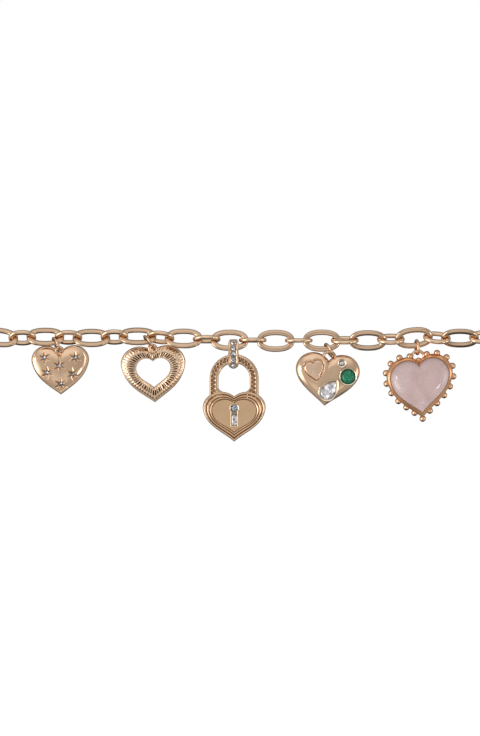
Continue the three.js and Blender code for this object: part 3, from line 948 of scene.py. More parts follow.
@dataclass
class Clasp(Part):
    """The clasp at the nape: an oval claw with its eye, between two rings."""

    route: Route = Route()
    claw: OvalRing = OvalRing(12, 7, 1.7, 64, 16, 2.5)
    ring: OvalRing = OvalRing(5.4, 5.4, 0.9, sides=12)
    eye: OvalRing = OvalRing(4, 4, 1, 32, 12)
    overlap: float = 0.5
    gap: float = 0.1

    def build(self) -> None:
        """Builds the claw and its rings."""
        claw, ring, eye, route = self.claw, self.ring, self.eye, self.route
        link, ring_hole, claw_hole = (each.length - 2 * each.wire for each in (Chain.front[0], ring, claw))
        eye_x = (claw.length + eye.length) / 2 - self.overlap
        claw_inner = claw_hole / 2 + eye_x + eye.length / 2 - eye.wire
        ring_step = (link + ring_hole) / 2 - self.gap
        clasp_step = (ring_hole + claw_inner) / 2 - self.gap
        left, right = (last * route.step + ring_step for last in route.last)
        claw_piece = joined("clasp_claw", [claw.build("claw"), shifted(eye.build("claw_eye"), eye_x, 0, 0)])
        shifted(claw_piece, (claw_hole - claw_inner) / 2, 0, 0)
        for node, piece, along, turn in (
            ("clasp", claw_piece, -left - clasp_step, 0),
            ("clasp_ring_right", ring.build("clasp_ring_right_wire"), right, 90),
            ("clasp_ring_left", ring.build("clasp_ring_left_wire"), -left, 90),
        ):
            move = route.placing(route.middle_x + along, turn)
            self.ready(piece, Finish.CHAIN, node, hold=Hold.SOFT, move=move)


# ---- the charms ----


@dataclass(frozen=True)
class JumpRing:
    """A round jump ring that holds a charm on its link."""

    node: str
    place: CharmPlace
    across: float
    wire: float
    turn: float
    slant: float
    finish: Finish = Finish.CHAIN

    def build(self) -> Piece:
        """Makes the ring, nearly edge on and leaning."""
        ring = OvalRing(self.across, self.across, self.wire).build(f"{self.node}_wire")
        return placed(ring, turned(self.slant, "Z") @ turned(90 + self.turn, "Y"))


@dataclass
class Charm(Part):
    """A charm with its eye, on its jump ring."""

    eye: tuple = ()  # across, wire, x, y, z
    ring: JumpRing | None = None

    def with_eye(self, name: str, body: Piece) -> Piece:
        """Joins the charm's body and its eye, and returns them under the name."""
        across, wire, *place = self.eye
        return joined(name, [body, shifted(OvalRing(across, across, wire).build("eye"), *place)])

    def hang(self) -> None:
        """Makes the jump ring."""
        ring = self.ring
        self.ready(ring.build(), ring.finish, ring.node, hold=Hold.SOFT, move=ring.place.matrix())


@dataclass
class StarburstHeart(Charm):
    """A domed heart with six engraved stars, each round a small stone."""

    place: CharmPlace = CharmPlace(-50.41, -1.92, 0.75, 1.3)
    eye: tuple = (2.7, 0.9, -0.2, -1.5, 0)
    ring: JumpRing = JumpRing("starburst_ring", CharmPlace(-51.4, -1.65, 0.85), 4.6, 0.7, 14, 27)
    size: HeartSize = HeartSize(16.1, 13.75, 2.3, tip_angle=36, hold=0.38, squash=0.94)
    half: float = 1.05
    rim: float = 0.68
    rim_top: float = 0.36
    draft: float = 0.22  # how far its side leans in
    shift: float = 0.3  # of the face to the left in its rim
    foot: float = 0.28  # z of the face's edge
    dome: float = 1.36  # z of the face's middle
    stars: tuple = ((-4.43, -3.36), (4.27, -3.52), (-0.26, -5.7), (-3.68, -7.63), (3.38, -8), (0.03, -10.84))
    ray: tuple = (0.5, 1.95, 0.4, 0.42)  # from, to, half width, depth
    lean: float = 0.5  # where across a ray it is deepest
    seat: float = 0.22  # how deep a stone's seat is
    stone: tuple = (1.15, 0.5, 0.4)  # across, height, how deep it sits
    crease: tuple = (0.28, 0.34)  # below the notch: width, depth

    def rings(self) -> Rings:
        """Draws the body's rings from its back to its front.

        Returns:
            The rings, before the stars are cut.
        """
        size, top = self.size, self.rim_top
        levels = rounded_back(size, self.half, 0.35)
        levels += [(size, -0.3), (size.inset(self.draft), top - 0.08), (size.inset(self.draft + 0.08), top)]
        shifted_from = len(levels)
        levels += [(size.inset(self.rim - 0.14), top), (size.inset(self.rim), top - 0.1)]
        face = size.inset(self.rim + 0.06, 2.0)
        for share in np.linspace(0, 0.985, 64):
            rise = (1 - (1 - share) ** 2.2) ** 0.75
            levels.append((face.shrunk(share), self.foot + (self.dome - self.foot) * rise))
        rings = heart_rings(levels, 480)
        rings[shifted_from:, :, 0] -= self.shift
        return rings

    def heights(self, rings: Rings) -> list[float]:
        """Measures the face's height at each star.

        Args:
            rings: The body's rings, before the stars are cut.

        Returns:
            The heights.
        """
        front = rings.reshape(-1, 3)
        front = front[front[:, 2] > 0.2]
        return [float(front[np.argmin(np.hypot(front[:, 0] - x, front[:, 1] - y)), 2]) for x, y in self.stars]

    def engrave(self, rings: Rings) -> None:
        """Cuts the front: rays with one wide wall and one steep wall, seats for the stones, and the crease.

        Args:
            rings: The body's rings, which are changed.
        """
        x, y, z = rings[..., 0], rings[..., 1], rings[..., 2]
        wide, deep = self.crease
        cut = deep * np.exp(-(((x - y * 0.02) / wide) ** 2)) * eased(y, self.stars[2][1] + 0.6, -2.2)
        start, stop, half, depth = self.ray
        for star_x, star_y in self.stars:
            away = np.hypot(x - star_x, y - star_y)
            off = np.degrees(np.arctan2(y - star_y, x - star_x)) % 60 - 30
            width = half * np.clip((stop - away) / (stop - start), 0, 1) ** 0.6
            across = away * np.sin(np.radians(off)) / np.maximum(width, 1e-6)
            walls = np.minimum((1 + across) / (1 + self.lean), (1 - across) / (1 - self.lean))
            ray = np.where((away > start * 0.8) & (width > 0), np.clip(walls, 0, 1), 0)
            seat = self.seat * (1 - eased(away, 0.5, 0.68))
            cut = np.maximum.reduce([cut, depth * ray * width / half, seat])
        z -= np.where(z > self.foot, cut, 0)

    def build(self) -> None:
        """Builds the heart, its stones and its jump ring."""
        rings = self.rings()
        heights = self.heights(rings)
        self.engrave(rings)
        body = self.with_eye("starburst_heart_engraved", net("starburst_body", rings))
        self.ready(body, Finish.GOLD, "starburst_heart")
        *size, depth = self.stone
        stones = [brilliant("star_stone", *size) for _ in self.stars]
        for stone, (x, y), height in zip(stones, self.stars, heights):
            shifted(stone, x, y, height - depth)
        self.ready(joined("starburst_stones", stones), Finish.COOL, hold=Hold.FACETED)
        self.hang()


@dataclass
class FlutedHeart(Charm):
    """An open heart with two rows of flutes round it."""

    place: CharmPlace = CharmPlace(-24.58, -2.06, -0.85, 2.8)
    eye: tuple = (2.8, 0.9, 0.1, -0.8, 0.75)
    ring: JumpRing = JumpRing("fluted_ring", CharmPlace(-25.5, -1.1, 0.5), 5, 0.7, 10, 36)
    outer: HeartSize = HeartSize(18.1, 15.8, 1.4, tip_angle=36, hold=0.4, squash=0.91)
    hole: HeartSize = HeartSize(9.6, 8.0, 0.9, -3.5)
    half: float = 0.9
    ridge: float = 0.57  # between the two rows, at the sides
    sag: float = 0.08  # how much farther out the ridge lies at the tip
    row: float = 0.4  # the inner row, from the ridge inward
    edge: float = 0.88  # of the outer row
    inner_row: tuple = (0.42, 0.46)  # z at the hole, and the rise to the ridge
    outer_row: tuple = (0.32, 0.56)  # z at its edge, and the rise to the ridge
    slot: tuple = (0.36, 0.07)  # how deep the inner and the outer row's slots are
    flutes: int = 56
    around: int = 896
    crest: float = 1.85  # half a rib's width, of pi for half a flute
    round_by: float = 0.06  # how much lower a rib is at its sides

    def rings(self) -> list[Points]:
        """Draws the section from the back's inner edge over the back and the front to the inner edge.

        Returns:
            The rings.
        """
        outer, inner = self.outer.outline(self.around), self.hole.outline(self.around)
        turn = np.arange(self.around) / self.around * self.flutes
        phase = np.abs(turn - np.round(turn)) * math.tau
        down = np.clip(-(outer[:, 1] + 6) / 6, -1, 1)
        back = [(0.0, -0.35), (0.02, -0.6), (0.06, -0.78)]
        back += [(share, -self.half) for share in (0.14, 0.5, 0.86)]
        back += [(0.94, -0.78), (0.98, -0.6), (1.0, -0.4)]
        side = [(0.95, 0.3), (0.94, 0.38), (0.92, 0.42), (0.9, 0.4)]
        front = [(share, self.relief(share, phase, down)) for share in np.linspace(self.edge, 0.08, 44)]
        lip = [(0.06, 0.5), (0.03, 0.48), (0.01, 0.38), (0.0, 0.1)]
        return [lifted(inner + (outer - inner) * share, z) for share, z in back + side + front + lip]

    def relief(self, share: float, phase: Points, down: Points) -> Points:
        """Shapes one ring of the fluted front.

        Args:
            share: How far out it lies, from 0 at the hole to 1 at the rim.
            phase: How far each point is from a rib's middle, up to pi in a slot.
            down: How near the tip each point is, from -1 at the lobes to 1 at the tip.

        Returns:
            The ring's z.
        """
        rib = -self.round_by * np.minimum(1, phase / self.crest) ** 2
        slot = eased(phase, self.crest, self.crest + 0.7)
        ridge = self.ridge + self.sag * down
        row = np.clip((share - ridge + self.row) / (self.row - 0.04), 0, 1)
        (low, rise), (foot, fall), (deep, shallow) = self.inner_row, self.outer_row, self.slot
        inner = low + rise * np.sin(QUARTER * np.minimum(1, share / ridge))
        inner += rib - slot * (0.08 * (share < ridge - 0.04) + deep * (1 - np.abs(2 * row - 1) ** 3))
        past = np.clip((share - ridge) / (self.edge - ridge), 0, 1)
        outer = foot + fall * np.cos(QUARTER * past)
        outer += (rib - shallow * slot) * np.sin(math.pi * past) ** 0.7
        return np.where(share < ridge, inner, outer)

    def build(self) -> None:
        """Builds the heart and its jump ring."""
        body = self.with_eye("fluted_heart_open", net("fluted_body", self.rings(), capped=False))
        self.ready(body, Finish.FLUTED, "fluted_heart")
        self.hang()


@dataclass
class Bail(Part):
    """The padlock's oval bail, with a row of stones down its front."""

    body: Body = Body.BAIL
    place: CharmPlace = CharmPlace(-1.83, 0, 0.77)
    width: float = 3.0
    outer: tuple = (4.9, -0.2, -8.46, 2.5)  # depth, top, bottom, squareness
    hole: tuple = (3.1, -1.45, -7.5, 3.5)
    rail: float = 0.66
    sink: float = 0.4
    stones: tuple = (-1.22, -2.8, -4.5, -6.1, -7.6)
    stone: tuple = (1.42, 0.5)  # across, height
    crown: tuple = (-1.1, 0.9, 0.26)  # where its top starts to narrow, over what height, and by how much
    point: tuple = (-7.2, 1.32)  # where it starts to run to a point, and over what height
    scallop: tuple = (0.05, 1.62)  # how much it widens at each stone, and from stone to stone

    def path(self, count: int, share: float | Points) -> Points:
        """Draws an oval between the hole and the outside.

        Args:
            count: The number of points.
            share: How far out it or each of its points lies.

        Returns:
            The points' depths and heights.
        """
        hole, outside = (
            oval(depth / 2, (top - bottom) / 2, count, squareness) + (0, (top + bottom) / 2)
            for depth, top, bottom, squareness in (self.hole, self.outer)
        )
        return hole + (outside - hole) * share

    def half_width(self, height: float | Points) -> Points:
        """Measures half the band's width: rounded in at its top and to a point below.

        Args:
            height: The height or heights.

        Returns:
            Half the width there.
        """
        (crown_from, crown_over, loss), (point_from, point_over) = self.crown, self.point
        below = np.clip((point_from - height) / point_over, 0, 0.97)
        above = np.clip((height - crown_from) / crown_over, 0, 1)
        wider, pitch = self.scallop
        swell = wider * np.cos((height - self.stones[0]) / pitch * math.tau)
        return (self.width / 2 - wider + swell) * np.sqrt(1 - below**2) * (1 - loss * above**2)

    def ring(self) -> Piece:
        """Makes the band: its section round the oval, with a channel in its front between two rails.

        Returns:
            The piece.
        """
        count = 200
        outside = self.path(count, 1)
        front = eased(outside[:, 0], 0.3, 1.4)
        half = self.half_width(outside[:, 1])
        floor = np.maximum(half - self.rail, half * 0.35)
        low = 1 - self.sink * front
        flank = ((0.0, 0.0), (0.7, 0.0), (0.93, 0.06), (1.0, 0.3), (1.0, 0.7), (0.96, 0.9))
        top = ((0.85, 0.958), (0.5, 1.0), (0.15, 0.958))
        section = [(half * across, share) for across, share in flank]  # from the back's middle; how far out
        section += [(floor + (half - floor) * across, share) for across, share in top]
        section += [(floor, 1 - 0.14 * front), (floor * 0.97, low), (half * 0, low)]
        rings = []
        for across, share in section + [(-across, share) for across, share in section[-2:0:-1]]:
            depth, height = self.path(count, np.broadcast_to(share, count)[:, None]).T
            rings.append(np.column_stack([across, height, depth]))
        return net("bail_ring", rings, capped=False)

    def floor(self) -> Piece:
        """Makes the channel's grey floor, a thin strip under the stones.

        Returns:
            The piece.
        """
        front = self.path(160, 0.7)
        front = front[front[:, 0] > 0.9]
        rings = []
        for depth, up in front[np.argsort(front[:, 1])]:
            half = float(self.half_width(up)) - self.rail - 0.03
            corners = ((-half, 0), (half, 0), (half, -0.1), (-half, -0.1))
            rings.append([(x, up, depth + z) for x, z in corners])
        return net("bail_channel", rings)

    def build(self) -> None:
        """Builds the bail, its stones and its channel's floor."""
        self.ready(self.ring(), Finish.GOLD, "bail")
        outline = self.path(720, 0.78)
        stones = []
        for height in self.stones:
            near = np.argmin(np.abs(outline[:, 1] - height) + (outline[:, 0] < 0) * 100)
            ahead = outline[(near + 3) % 720] - outline[near - 3]
            depth, up = outline[near]
            lean = turned(math.degrees(math.atan2(ahead[0], ahead[1])), "X")
            stone = brilliant("bail_stone", *self.stone)
            stones.append(placed(stone, Matrix.Translation((0, up, depth - 0.12)) @ lean))
        self.ready(joined("bail_stones", stones), Finish.CRYSTAL, hold=Hold.FACETED)
        self.ready(self.floor(), Finish.CHANNEL)


@dataclass
class Padlock(Part):
    """A heart padlock with a braided shackle and a stone keyhole."""

    body: Body = Body.PADLOCK
    place: CharmPlace = CharmPlace(-1.62, -14.9, 0.77)
    size: HeartSize = HeartSize(17.6, 14.0, 1.3, hold=0.38, growth=1.91, crown=0.86, squash=0.85)
    half: float = 1.3
    bead: tuple = (0.47, 0.5, 0.75)  # of the rim: half width, foot, rise
    ridges: tuple = (  # how far in, and z, across the two thin ridges inside the rim
        (0.95, 0.66), (1.0, 0.66), (1.08, 0.88), (1.2, 1.04), (1.33, 1.13), (1.43, 1.15), (1.53, 1.13),
        (1.66, 1.03), (1.76, 0.88), (1.82, 0.68), (1.86, 0.68), (1.92, 0.86), (2.0, 0.97), (2.1, 1.02),
        (2.2, 1.0), (2.32, 0.92), (2.45, 0.8), (2.54, 0.6),
    )
    plate: float = 0.85  # z of the plate
    plate_in: float = 2.63  # how far in its edge is
    shackle_radius: float = 5.63
    shackle_top: float = 9.23
    shackle_foot: float = -1.7
    bar: float = 2.5
    depth: float = 1.9
    braid: float = 0.66  # half its width
    braid_shift: float = 0.3  # to the left
    braid_turn: tuple = (1.15, 1.5)  # how far along and how far across the bar a strand takes half a turn
    braid_depth: tuple = (0.1, 0.42)  # of the band, and of the gaps between its strands
    collar: tuple = (1.1, 1.2)  # how far its feet spread inward, and from what height
    keyhole_y: float = -4.6
    keyhole_radius: float = 0.93  # inside its wall
    slot: tuple = (0.74, -9.45)  # half width and end, inside its wall
    slot_wall: float = 0.68  # how thick it is beside the slot, of the round's
    baguette: tuple = (1.42, 2.9, -7.95)  # width, length, middle
    round_stone: tuple = (1.86, 0.6)  # across, height
    stone_foot: float = 0.92  # z of both stones' feet
    keyhole_wall: tuple = (0.44, 1.46, 0.2)  # thickness, z of its rim, slope

    def rim(self) -> Piece:
        """Makes the heart's rim: a rounded bead and two thin ridges round a sunk floor.

        Returns:
            The piece.
        """
        levels = rounded_back(self.size, self.half, 0.9)[:-1]
        levels += roll(self.size, np.linspace(0, 150, 15), *self.bead, notch=1.28)
        levels += [(self.size.inset(away, 1.25 - 0.1 * away), z) for away, z in self.ridges]
        away, floor = self.ridges[-1]
        levels += fill(self.size.inset(away, 0.98), floor, 0.1, 0.35, 0.6, 0.85, 0.97)
        return heart("padlock_rim", levels, 240)

    def face(self) -> Piece:
        """Makes the flat plate inside the rim.

        Returns:
            The piece.
        """
        edge, top = (self.size.inset(self.plate_in + more, 0.95) for more in (0, 0.06))
        levels = fill(edge, 0.45, 0.97, 0.5, 0) + [(edge, self.plate - 0.05)]
        return heart("padlock_plate", levels + fill(top, self.plate, 0, 0.15, 0.35, 0.6, 0.85, 0.97), 240)

    def section(self) -> tuple[Points, Points]:
        """Draws the shackle's section, a rounded bar with many points across its front and back.

        Returns:
            How far across the bar each point is, and how far in front of its middle.
        """
        half = self.bar / 2
        across = np.linspace(-half + 0.04, half - 0.04, 30)
        rise = self.depth / 2 * (1 - np.abs(across / half) ** 4.2) ** (1 / 4.2)
        across = np.array([*across, half, half, *across[::-1], -half, -half])
        return across, np.array([*rise, 0.2, -0.2, *-rise[::-1], -0.2, 0.2])

    def shackle(self) -> Piece:
        """Makes the shackle, with a braid between two smooth rims on its front and back.

        Returns:
            The piece.
        """
        radius, spring = self.shackle_radius, self.shackle_top - self.shackle_radius
        leg = spring - self.shackle_foot
        across, deep = self.section()
        (pitch, slant), (shallow, gap) = self.braid_turn, self.braid_depth
        rings = []
        for along in np.linspace(0, 2 * leg + math.pi * radius, 440):
            angle = math.pi - min(max(along - leg, 0.0), math.pi * radius) / radius
            out = np.array([math.cos(angle), math.sin(angle)])
            straight = min(0.0, along - leg, leg + math.pi * radius - along)
            centre = radius * out + (0, spring + straight)
            near = across + self.braid_shift * out[0]
            turn, lean = along / pitch, near / slant
            strands = (np.cos((turn + lean) * math.pi), np.sin((turn - lean) * math.pi))
            strand = np.maximum(*np.abs(strands))
            band = (np.abs(near) < self.braid) * (np.abs(deep) > self.depth * 0.3)
            cut = shallow + gap * np.clip((0.98 - strand) / 0.28, 0, 1)
            level = np.sign(deep) * (np.abs(deep) - band * eased(self.braid - np.abs(near), 0, 0.16) * cut)
            spread = self.collar[0] * max(0.0, 1 - max(0.0, centre[1]) / self.collar[1]) ** 2
            wide = np.where(across < 0, across * (1 + spread / (self.bar / 2)), across)
            rings.append(lifted(centre + np.outer(wide, out), level))
        return net("padlock_shackle", rings)

    def keyhole(self, grow: float) -> Points:
        """Draws the keyhole: a round that runs into a straight slot.

        Args:
            grow: How much it is grown by.

        Returns:
            The points.
        """
        half, end = self.slot
        big, wall = self.keyhole_radius + grow, self.slot_wall * grow
        side, foot = half + wall, end - wall
        meet = math.asin(min(0.95, side / big))
        arc = np.linspace(-QUARTER + meet, 3 * QUARTER - meet, 49)
        top = np.column_stack([big * np.cos(arc), self.keyhole_y + big * np.sin(arc)])
        down = np.linspace(self.keyhole_y - big * math.cos(meet), foot, 13)[1:]
        return np.vstack([top, *([[-side, y]] for y in down), *([[side, y]] for y in down[::-1])])

    def step_cut(self) -> Piece:
        """Makes the keyhole's long stone, cut in steps.

        Returns:
            The piece.
        """
        width, length, middle = self.baguette
        corners = ((1, 1), (0, 1), (-1, 1), (-1, 0), (-1, -1), (0, -1), (1, -1), (1, 0))
        rings = []
        for share, z in ((0.75, 0.0), (1.0, 0.25), (1.0, 0.34), (0.86, 0.47), (0.66, 0.56), (0.5, 0.58)):
            half_x, half_y = width / 2 * share, (length - width * (1 - share)) / 2
            rings.append([(x * half_x, middle + y * half_y, self.stone_foot + 0.01 + z) for x, y in corners])
        return net("keyhole_long_stone", rings)

    def build(self) -> None:
        """Builds the padlock and its stones."""
        self.ready(self.rim(), Finish.RIM, "padlock")
        self.ready(self.face(), Finish.SATIN)
        thick, rim, slope = self.keyhole_wall
        wall = cup("padlock_keyhole_wall", self.keyhole, thick, self.plate - 0.15, rim, slope)
        # the keyhole wall's paler gold is painted highlight
        self.ready(wall, Finish.PALE)
        floor = [lifted(self.keyhole(0.1), z) for z in (0.5, self.stone_foot)]
        self.ready(net("padlock_keyhole_floor", floor), Finish.CHANNEL)
        self.ready(self.shackle(), Finish.BRAID)
        stone = shifted(brilliant("keyhole_stone", *self.round_stone), 0, self.keyhole_y, self.stone_foot)
        self.ready(stone, Finish.COOL, "keyhole_round", hold=Hold.FACETED)
        self.ready(self.step_cut(), Finish.CRYSTAL, "keyhole_baguette", hold=Hold.FACETED)


@dataclass
class GemHeart(Charm):
    """A puffed heart set with a small raised heart, a green dome, a pear stone and a round stone."""

    place: CharmPlace = CharmPlace(25.05, -4.21, 0, -5.5)
    eye: tuple = (4.3, 0.85, 0, -1.2, 0)
    ring: JumpRing = JumpRing("gem_ring", CharmPlace(24.95, -3.3, 0), 4.7, 0.8, 15, 30)
    size: HeartSize = HeartSize(17.95, 14.7, 2.0, tip_angle=42, hold=0.32, squash=0.94)
    half: float = 1.3
    border: float = 2.5  # how wide the rounded border is
    edge: float = -0.5  # z where the puffed face starts
    puff: float = 7.0  # how far in it has its full height
    groove: tuple = (0.34, 0.26)  # round the raised heart: depth, half width
    raised: tuple = (-3.63, -5.23, 18.5)  # x, y, turn
    raised_size: HeartSize = HeartSize(5.5, 5.6, 0.6, 2.8)
    green: tuple = (5.76, -5.94, 4.0)  # x, y, across
    green_heights: tuple = (0.85, 1.15, 1.15)  # its foot, its girdle's top and the dome's rise
    crystal: tuple = (3.71, -2.38, 1.5)  # x, y, across
    pear: tuple = (0.91, -10.09, 54.0)  # x, y, turn
    pear_size: tuple = (6.1, 4.1)

    def swell(self, away: float) -> float:
        """Returns the puffed face's height at a distance in from the edge."""
        return self.edge + (self.half - self.edge) * math.sqrt(1 - (1 - away / self.puff) ** 4)

    def puffed(self) -> Piece:
        """Makes the puffed heart, with a groove round the raised heart.

        Returns:
            The piece.
        """
        levels = rounded_back(self.size, self.half, 0.8)
        for turn in np.radians(np.linspace(0, 90, 19)[1:]):
            away = self.border * (1 - math.cos(turn))
            levels.append((self.size.inset(away), self.swell(away)))
        inner = self.size.inset(self.border)
        for share in np.linspace(0, 0.98, 34)[1:]:
            away = self.border + (self.puff - self.border) * share
            levels.append((inner.shrunk(share), self.swell(away)))
        rings = heart_rings(levels, 360)
        x, y, turn = self.raised
        cos, sin = math.cos(math.radians(turn)), math.sin(math.radians(turn))
        points = (rings[..., :2] - (x, y)) @ np.array([[cos, -sin], [sin, cos]])
        gaps = points.reshape(-1, 1, 2) - self.raised_size.outline(120)[None]
        near = np.linalg.norm(gaps, axis=2).min(axis=1).reshape(points.shape[:-1])
        z, (deep, half) = rings[..., 2], self.groove
        z -= np.where(z > 0.5, deep * np.exp(-((near / half) ** 2)), 0)
        return net("gem_body", rings)

    def small_heart(self) -> Piece:
        """Makes the raised heart.

        Returns:
            The piece.
        """
        size, (x, y, turn) = self.raised_size, self.raised
        levels = [(size.shrunk(0.9), 0.6), (size.inset(0.1), 0.6), (size.inset(0.1), 1.0)]
        levels += roll(size, np.linspace(0, 80, 6), 0.45, 1.1, 0.3, start=0.12)
        inner = size.inset(0.6)
        for share in (0.1, 0.3, 0.6, 0.9):
            levels.append((inner.shrunk(share), 1.4 + 0.12 * float(eased(share, 0, 1))))
        return shifted(heart("gem_small_heart", levels, 120), x, y, 0, turn)

    def pear_outline(self, grow: float, count: int = 64) -> Points:
        """Draws the pear, its point on +x.

        Args:
            grow: How much it is grown by.
            count: The number of points.

        Returns:
            The points.
        """
        length, width = self.pear_size
        radius, middle = width / 2 + grow, (width - length) / 2
        point, belly, side = (length / 2 + grow * 1.3, 0), (middle + radius * 1.15, radius), (middle, radius)
        t = np.linspace(0, 1, 60)[:, None]
        upper = (1 - t) ** 2 * point + 2 * (1 - t) * t * belly + t**2 * side
        arc = np.linspace(QUARTER, 3 * QUARTER, 90)[1:]
        back = np.column_stack([middle + radius * np.cos(arc), radius * np.sin(arc)])
        return evenly(np.vstack([upper, back, (upper * (1, -1))[::-1][1:]]), count)[:-1]

    def green_dome(self) -> Piece:
        """Makes the green stone: a low dome on a straight girdle.

        Returns:
            The piece.
        """
        radius, (foot, girdle, rise) = self.green[2] / 2, self.green_heights
        levels = [(radius, foot)]
        for turn in np.radians(np.linspace(0, 84, 15)):
            levels.append((radius * math.cos(turn) ** 0.8, girdle + rise * math.sin(turn)))
        return net("gem_green_dome", [lifted(oval(out, out, 64), z) for out, z in levels])

    def build(self) -> None:
        """Builds the heart, its settings, its stones and its ring."""
        green, crystal = circle(self.green[2] + 0.04), circle(self.crystal[2])
        x, y, turn = self.pear
        walls = [
            shifted(cup("pear_wall", self.pear_outline, 0.5, 0.7, self.half + 0.5, 0.22), x, y, 0, turn),
            shifted(cup("green_wall", green, 0.46, 0.5, self.half + 0.55, 0.2), *self.green[:2], 0),
            shifted(cup("round_wall", crystal, 0.5, 0.3, self.half + 0.34, 0.25), *self.crystal[:2], 0),
        ]
        # the settings' paler gold is painted highlight
        self.ready(joined("gem_settings", walls), Finish.PALE)
        self.ready(self.with_eye("gem_heart_set", self.puffed()), Finish.GOLD, "gem_heart")
        self.ready(self.small_heart(), Finish.BLUSH)
        steps = (
            (0.7, 0.64, 0, 0), (1, 1, 0.3, 0.3), (1, 1, 0.42, 0.42), (0.8, 0.74, 0.66, 0.84),
            (0.5, 0.44, 1, 0.94), (0.22, 0.16, 0.9, 1.05),
        )
        pear = faceted("gem_pear_stone", self.pear_outline(-0.05, 20), steps, -0.35)
        self.ready(shifted(pear, x, y, 0.75, turn), Finish.BRILLIANT, "gem_pear", hold=Hold.FACETED)
        round_stone = shifted(brilliant("gem_round_stone", self.crystal[2], 0.6), *self.crystal[:2], 0.95)
        self.ready(round_stone, Finish.CRYSTAL, "gem_round", hold=Hold.FACETED)
        self.ready(shifted(self.green_dome(), *self.green[:2], 0), Finish.GREEN, "gem_green", hold=Hold.SOFT)
        self.hang()


@dataclass
class QuartzHeart(Charm):
    """A domed pink heart in a rosy setting ringed with beads."""

    place: CharmPlace = CharmPlace(50.0, -5.6, -0.9, 4.0)
    eye: tuple = (4.35, 0.85, -0.1, 0.35, 0)
    ring: JumpRing = JumpRing("quartz_ring", CharmPlace(49.6, -2.45, -0.9), 4.6, 0.9, 11, 4, Finish.ROSE)
    size: HeartSize = HeartSize(16.5, 14.9, 1.8, tip_angle=46)
    beads: HeartSize = HeartSize(19.1, 17.8, 1.85, 1.3, 46)
    bead: float = 0.92  # its radius
    stem: float = 0.48  # its radius
    count: int = 20
    back: float = -1.0  # z of its back
    wall: float = 1.9  # z of the setting's mouth
    skirt: float = 1.05  # how far the setting spreads
    droop: float = 0.75  # how much lower the left lobe is
    dome: tuple = (1.8, 2.25)  # z of the stone's edge, and its rise

    def drooped(self, points: Points) -> Points:
        """Lowers the hand-cast heart's left lobe and its tip a little.

        Args:
            points: Points or rings.

        Returns:
            The lowered points.
        """
        lowered = points.copy()
        lowered[..., 1] = points[..., 1] * 1.02 - self.droop * eased(-points[..., 0], -1.5, 7)
        return lowered

    def setting(self) -> Piece:
        """Makes the back plate and the sloping skirt round the stone.

        Returns:
            The piece.
        """
        size, back, lip = self.size, self.back, self.wall - 0.04
        grown = size.inset(-self.skirt, 1.85)
        levels = fill(grown, back, 0.97, 0.7, 0.4, 0.1)
        outside = ((0.3, back), (0.08, back + 0.15), (0, back + 0.4), (0, 0.5), (0.03, 0.82))
        levels += [(grown.inset(away), z) for away, z in outside]
        for share in np.linspace(0.1, 0.85, 7):
            levels.append((size.inset(-self.skirt * (1 - share), 1.82), 0.95 + 0.88 * share**0.8))
        mouth = ((-0.1, lip), (-0.02, lip), (0.06, self.wall - 0.2), (0.1, 0.4))
        levels += [(size.inset(away, 1.8), z) for away, z in mouth]
        levels += fill(size.inset(0.1), 0.3, 0.05, 0.4, 0.8)
        return net("quartz_setting", self.drooped(heart_rings(levels, 240)))

    def bead_row(self) -> list[Piece]:
        """Makes the beads, each on a short stem from the setting.

        Returns:
            The beads and their stems.
        """
        inner = self.drooped(self.size.inset(-0.5).outline(self.count * 12))
        made = []
        for x, y in self.drooped(self.beads.outline(self.count)):
            deselect()
            at = Vector((x, y, 0))
            bpy.ops.mesh.primitive_uv_sphere_add(segments=24, ring_count=16, radius=self.bead, location=at)
            made.append(bpy.context.active_object)
            gap = inner - (x, y)
            ahead = Vector((*gap[np.argmin(np.hypot(gap[:, 0], gap[:, 1]))], 0))
            deselect()
            bpy.ops.mesh.primitive_cylinder_add(
                vertices=16, radius=self.stem, depth=ahead.length, location=at + ahead / 2,
                rotation=ahead.to_track_quat("Z", "Y").to_euler(),
            )
            made.append(bpy.context.active_object)
        for piece in made:
            select(piece)
            bpy.ops.object.transform_apply(location=True, rotation=True, scale=True)
        return made

    def stone(self) -> Piece:
        """Makes the domed stone.

        Returns:
            The piece.
        """
        size, edge, (girdle, height) = self.size, self.size.inset(0.03), self.dome
        levels = [(size.shrunk(0.9), 0.35), (size.inset(0.25), 0.35), (size.inset(0.1), 0.5), (edge, 1.6)]
        for share in np.linspace(0, 0.985, 48):
            rise = (1 - (1 - share) ** 2.5) ** 0.55
            levels.append((edge.shrunk(share, 2.4), girdle + height * rise))
        return net("quartz_dome", self.drooped(heart_rings(levels, 300)))

    def build(self) -> None:
        """Builds the heart, its beads, its stone and its ring."""
        self.ready(self.setting(), Finish.COPPER, "quartz_frame", hold=Hold.SOFT)
        beads = self.with_eye("quartz_beads", joined("beads", self.bead_row()))
        self.ready(beads, Finish.ROSE, hold=Hold.SOFT)
        self.ready(self.stone(), Finish.QUARTZ, "quartz_stone", hold=Hold.SOFT)
        self.hang()


# ---- the studio ----


@dataclass(frozen=True)
class Glow:
    """A soft light in the studio's surroundings: its direction, size and strength."""

    towards: tuple
    inner: float  # degrees from its middle where it is full
    outer: float  # degrees where it ends
    strength: float


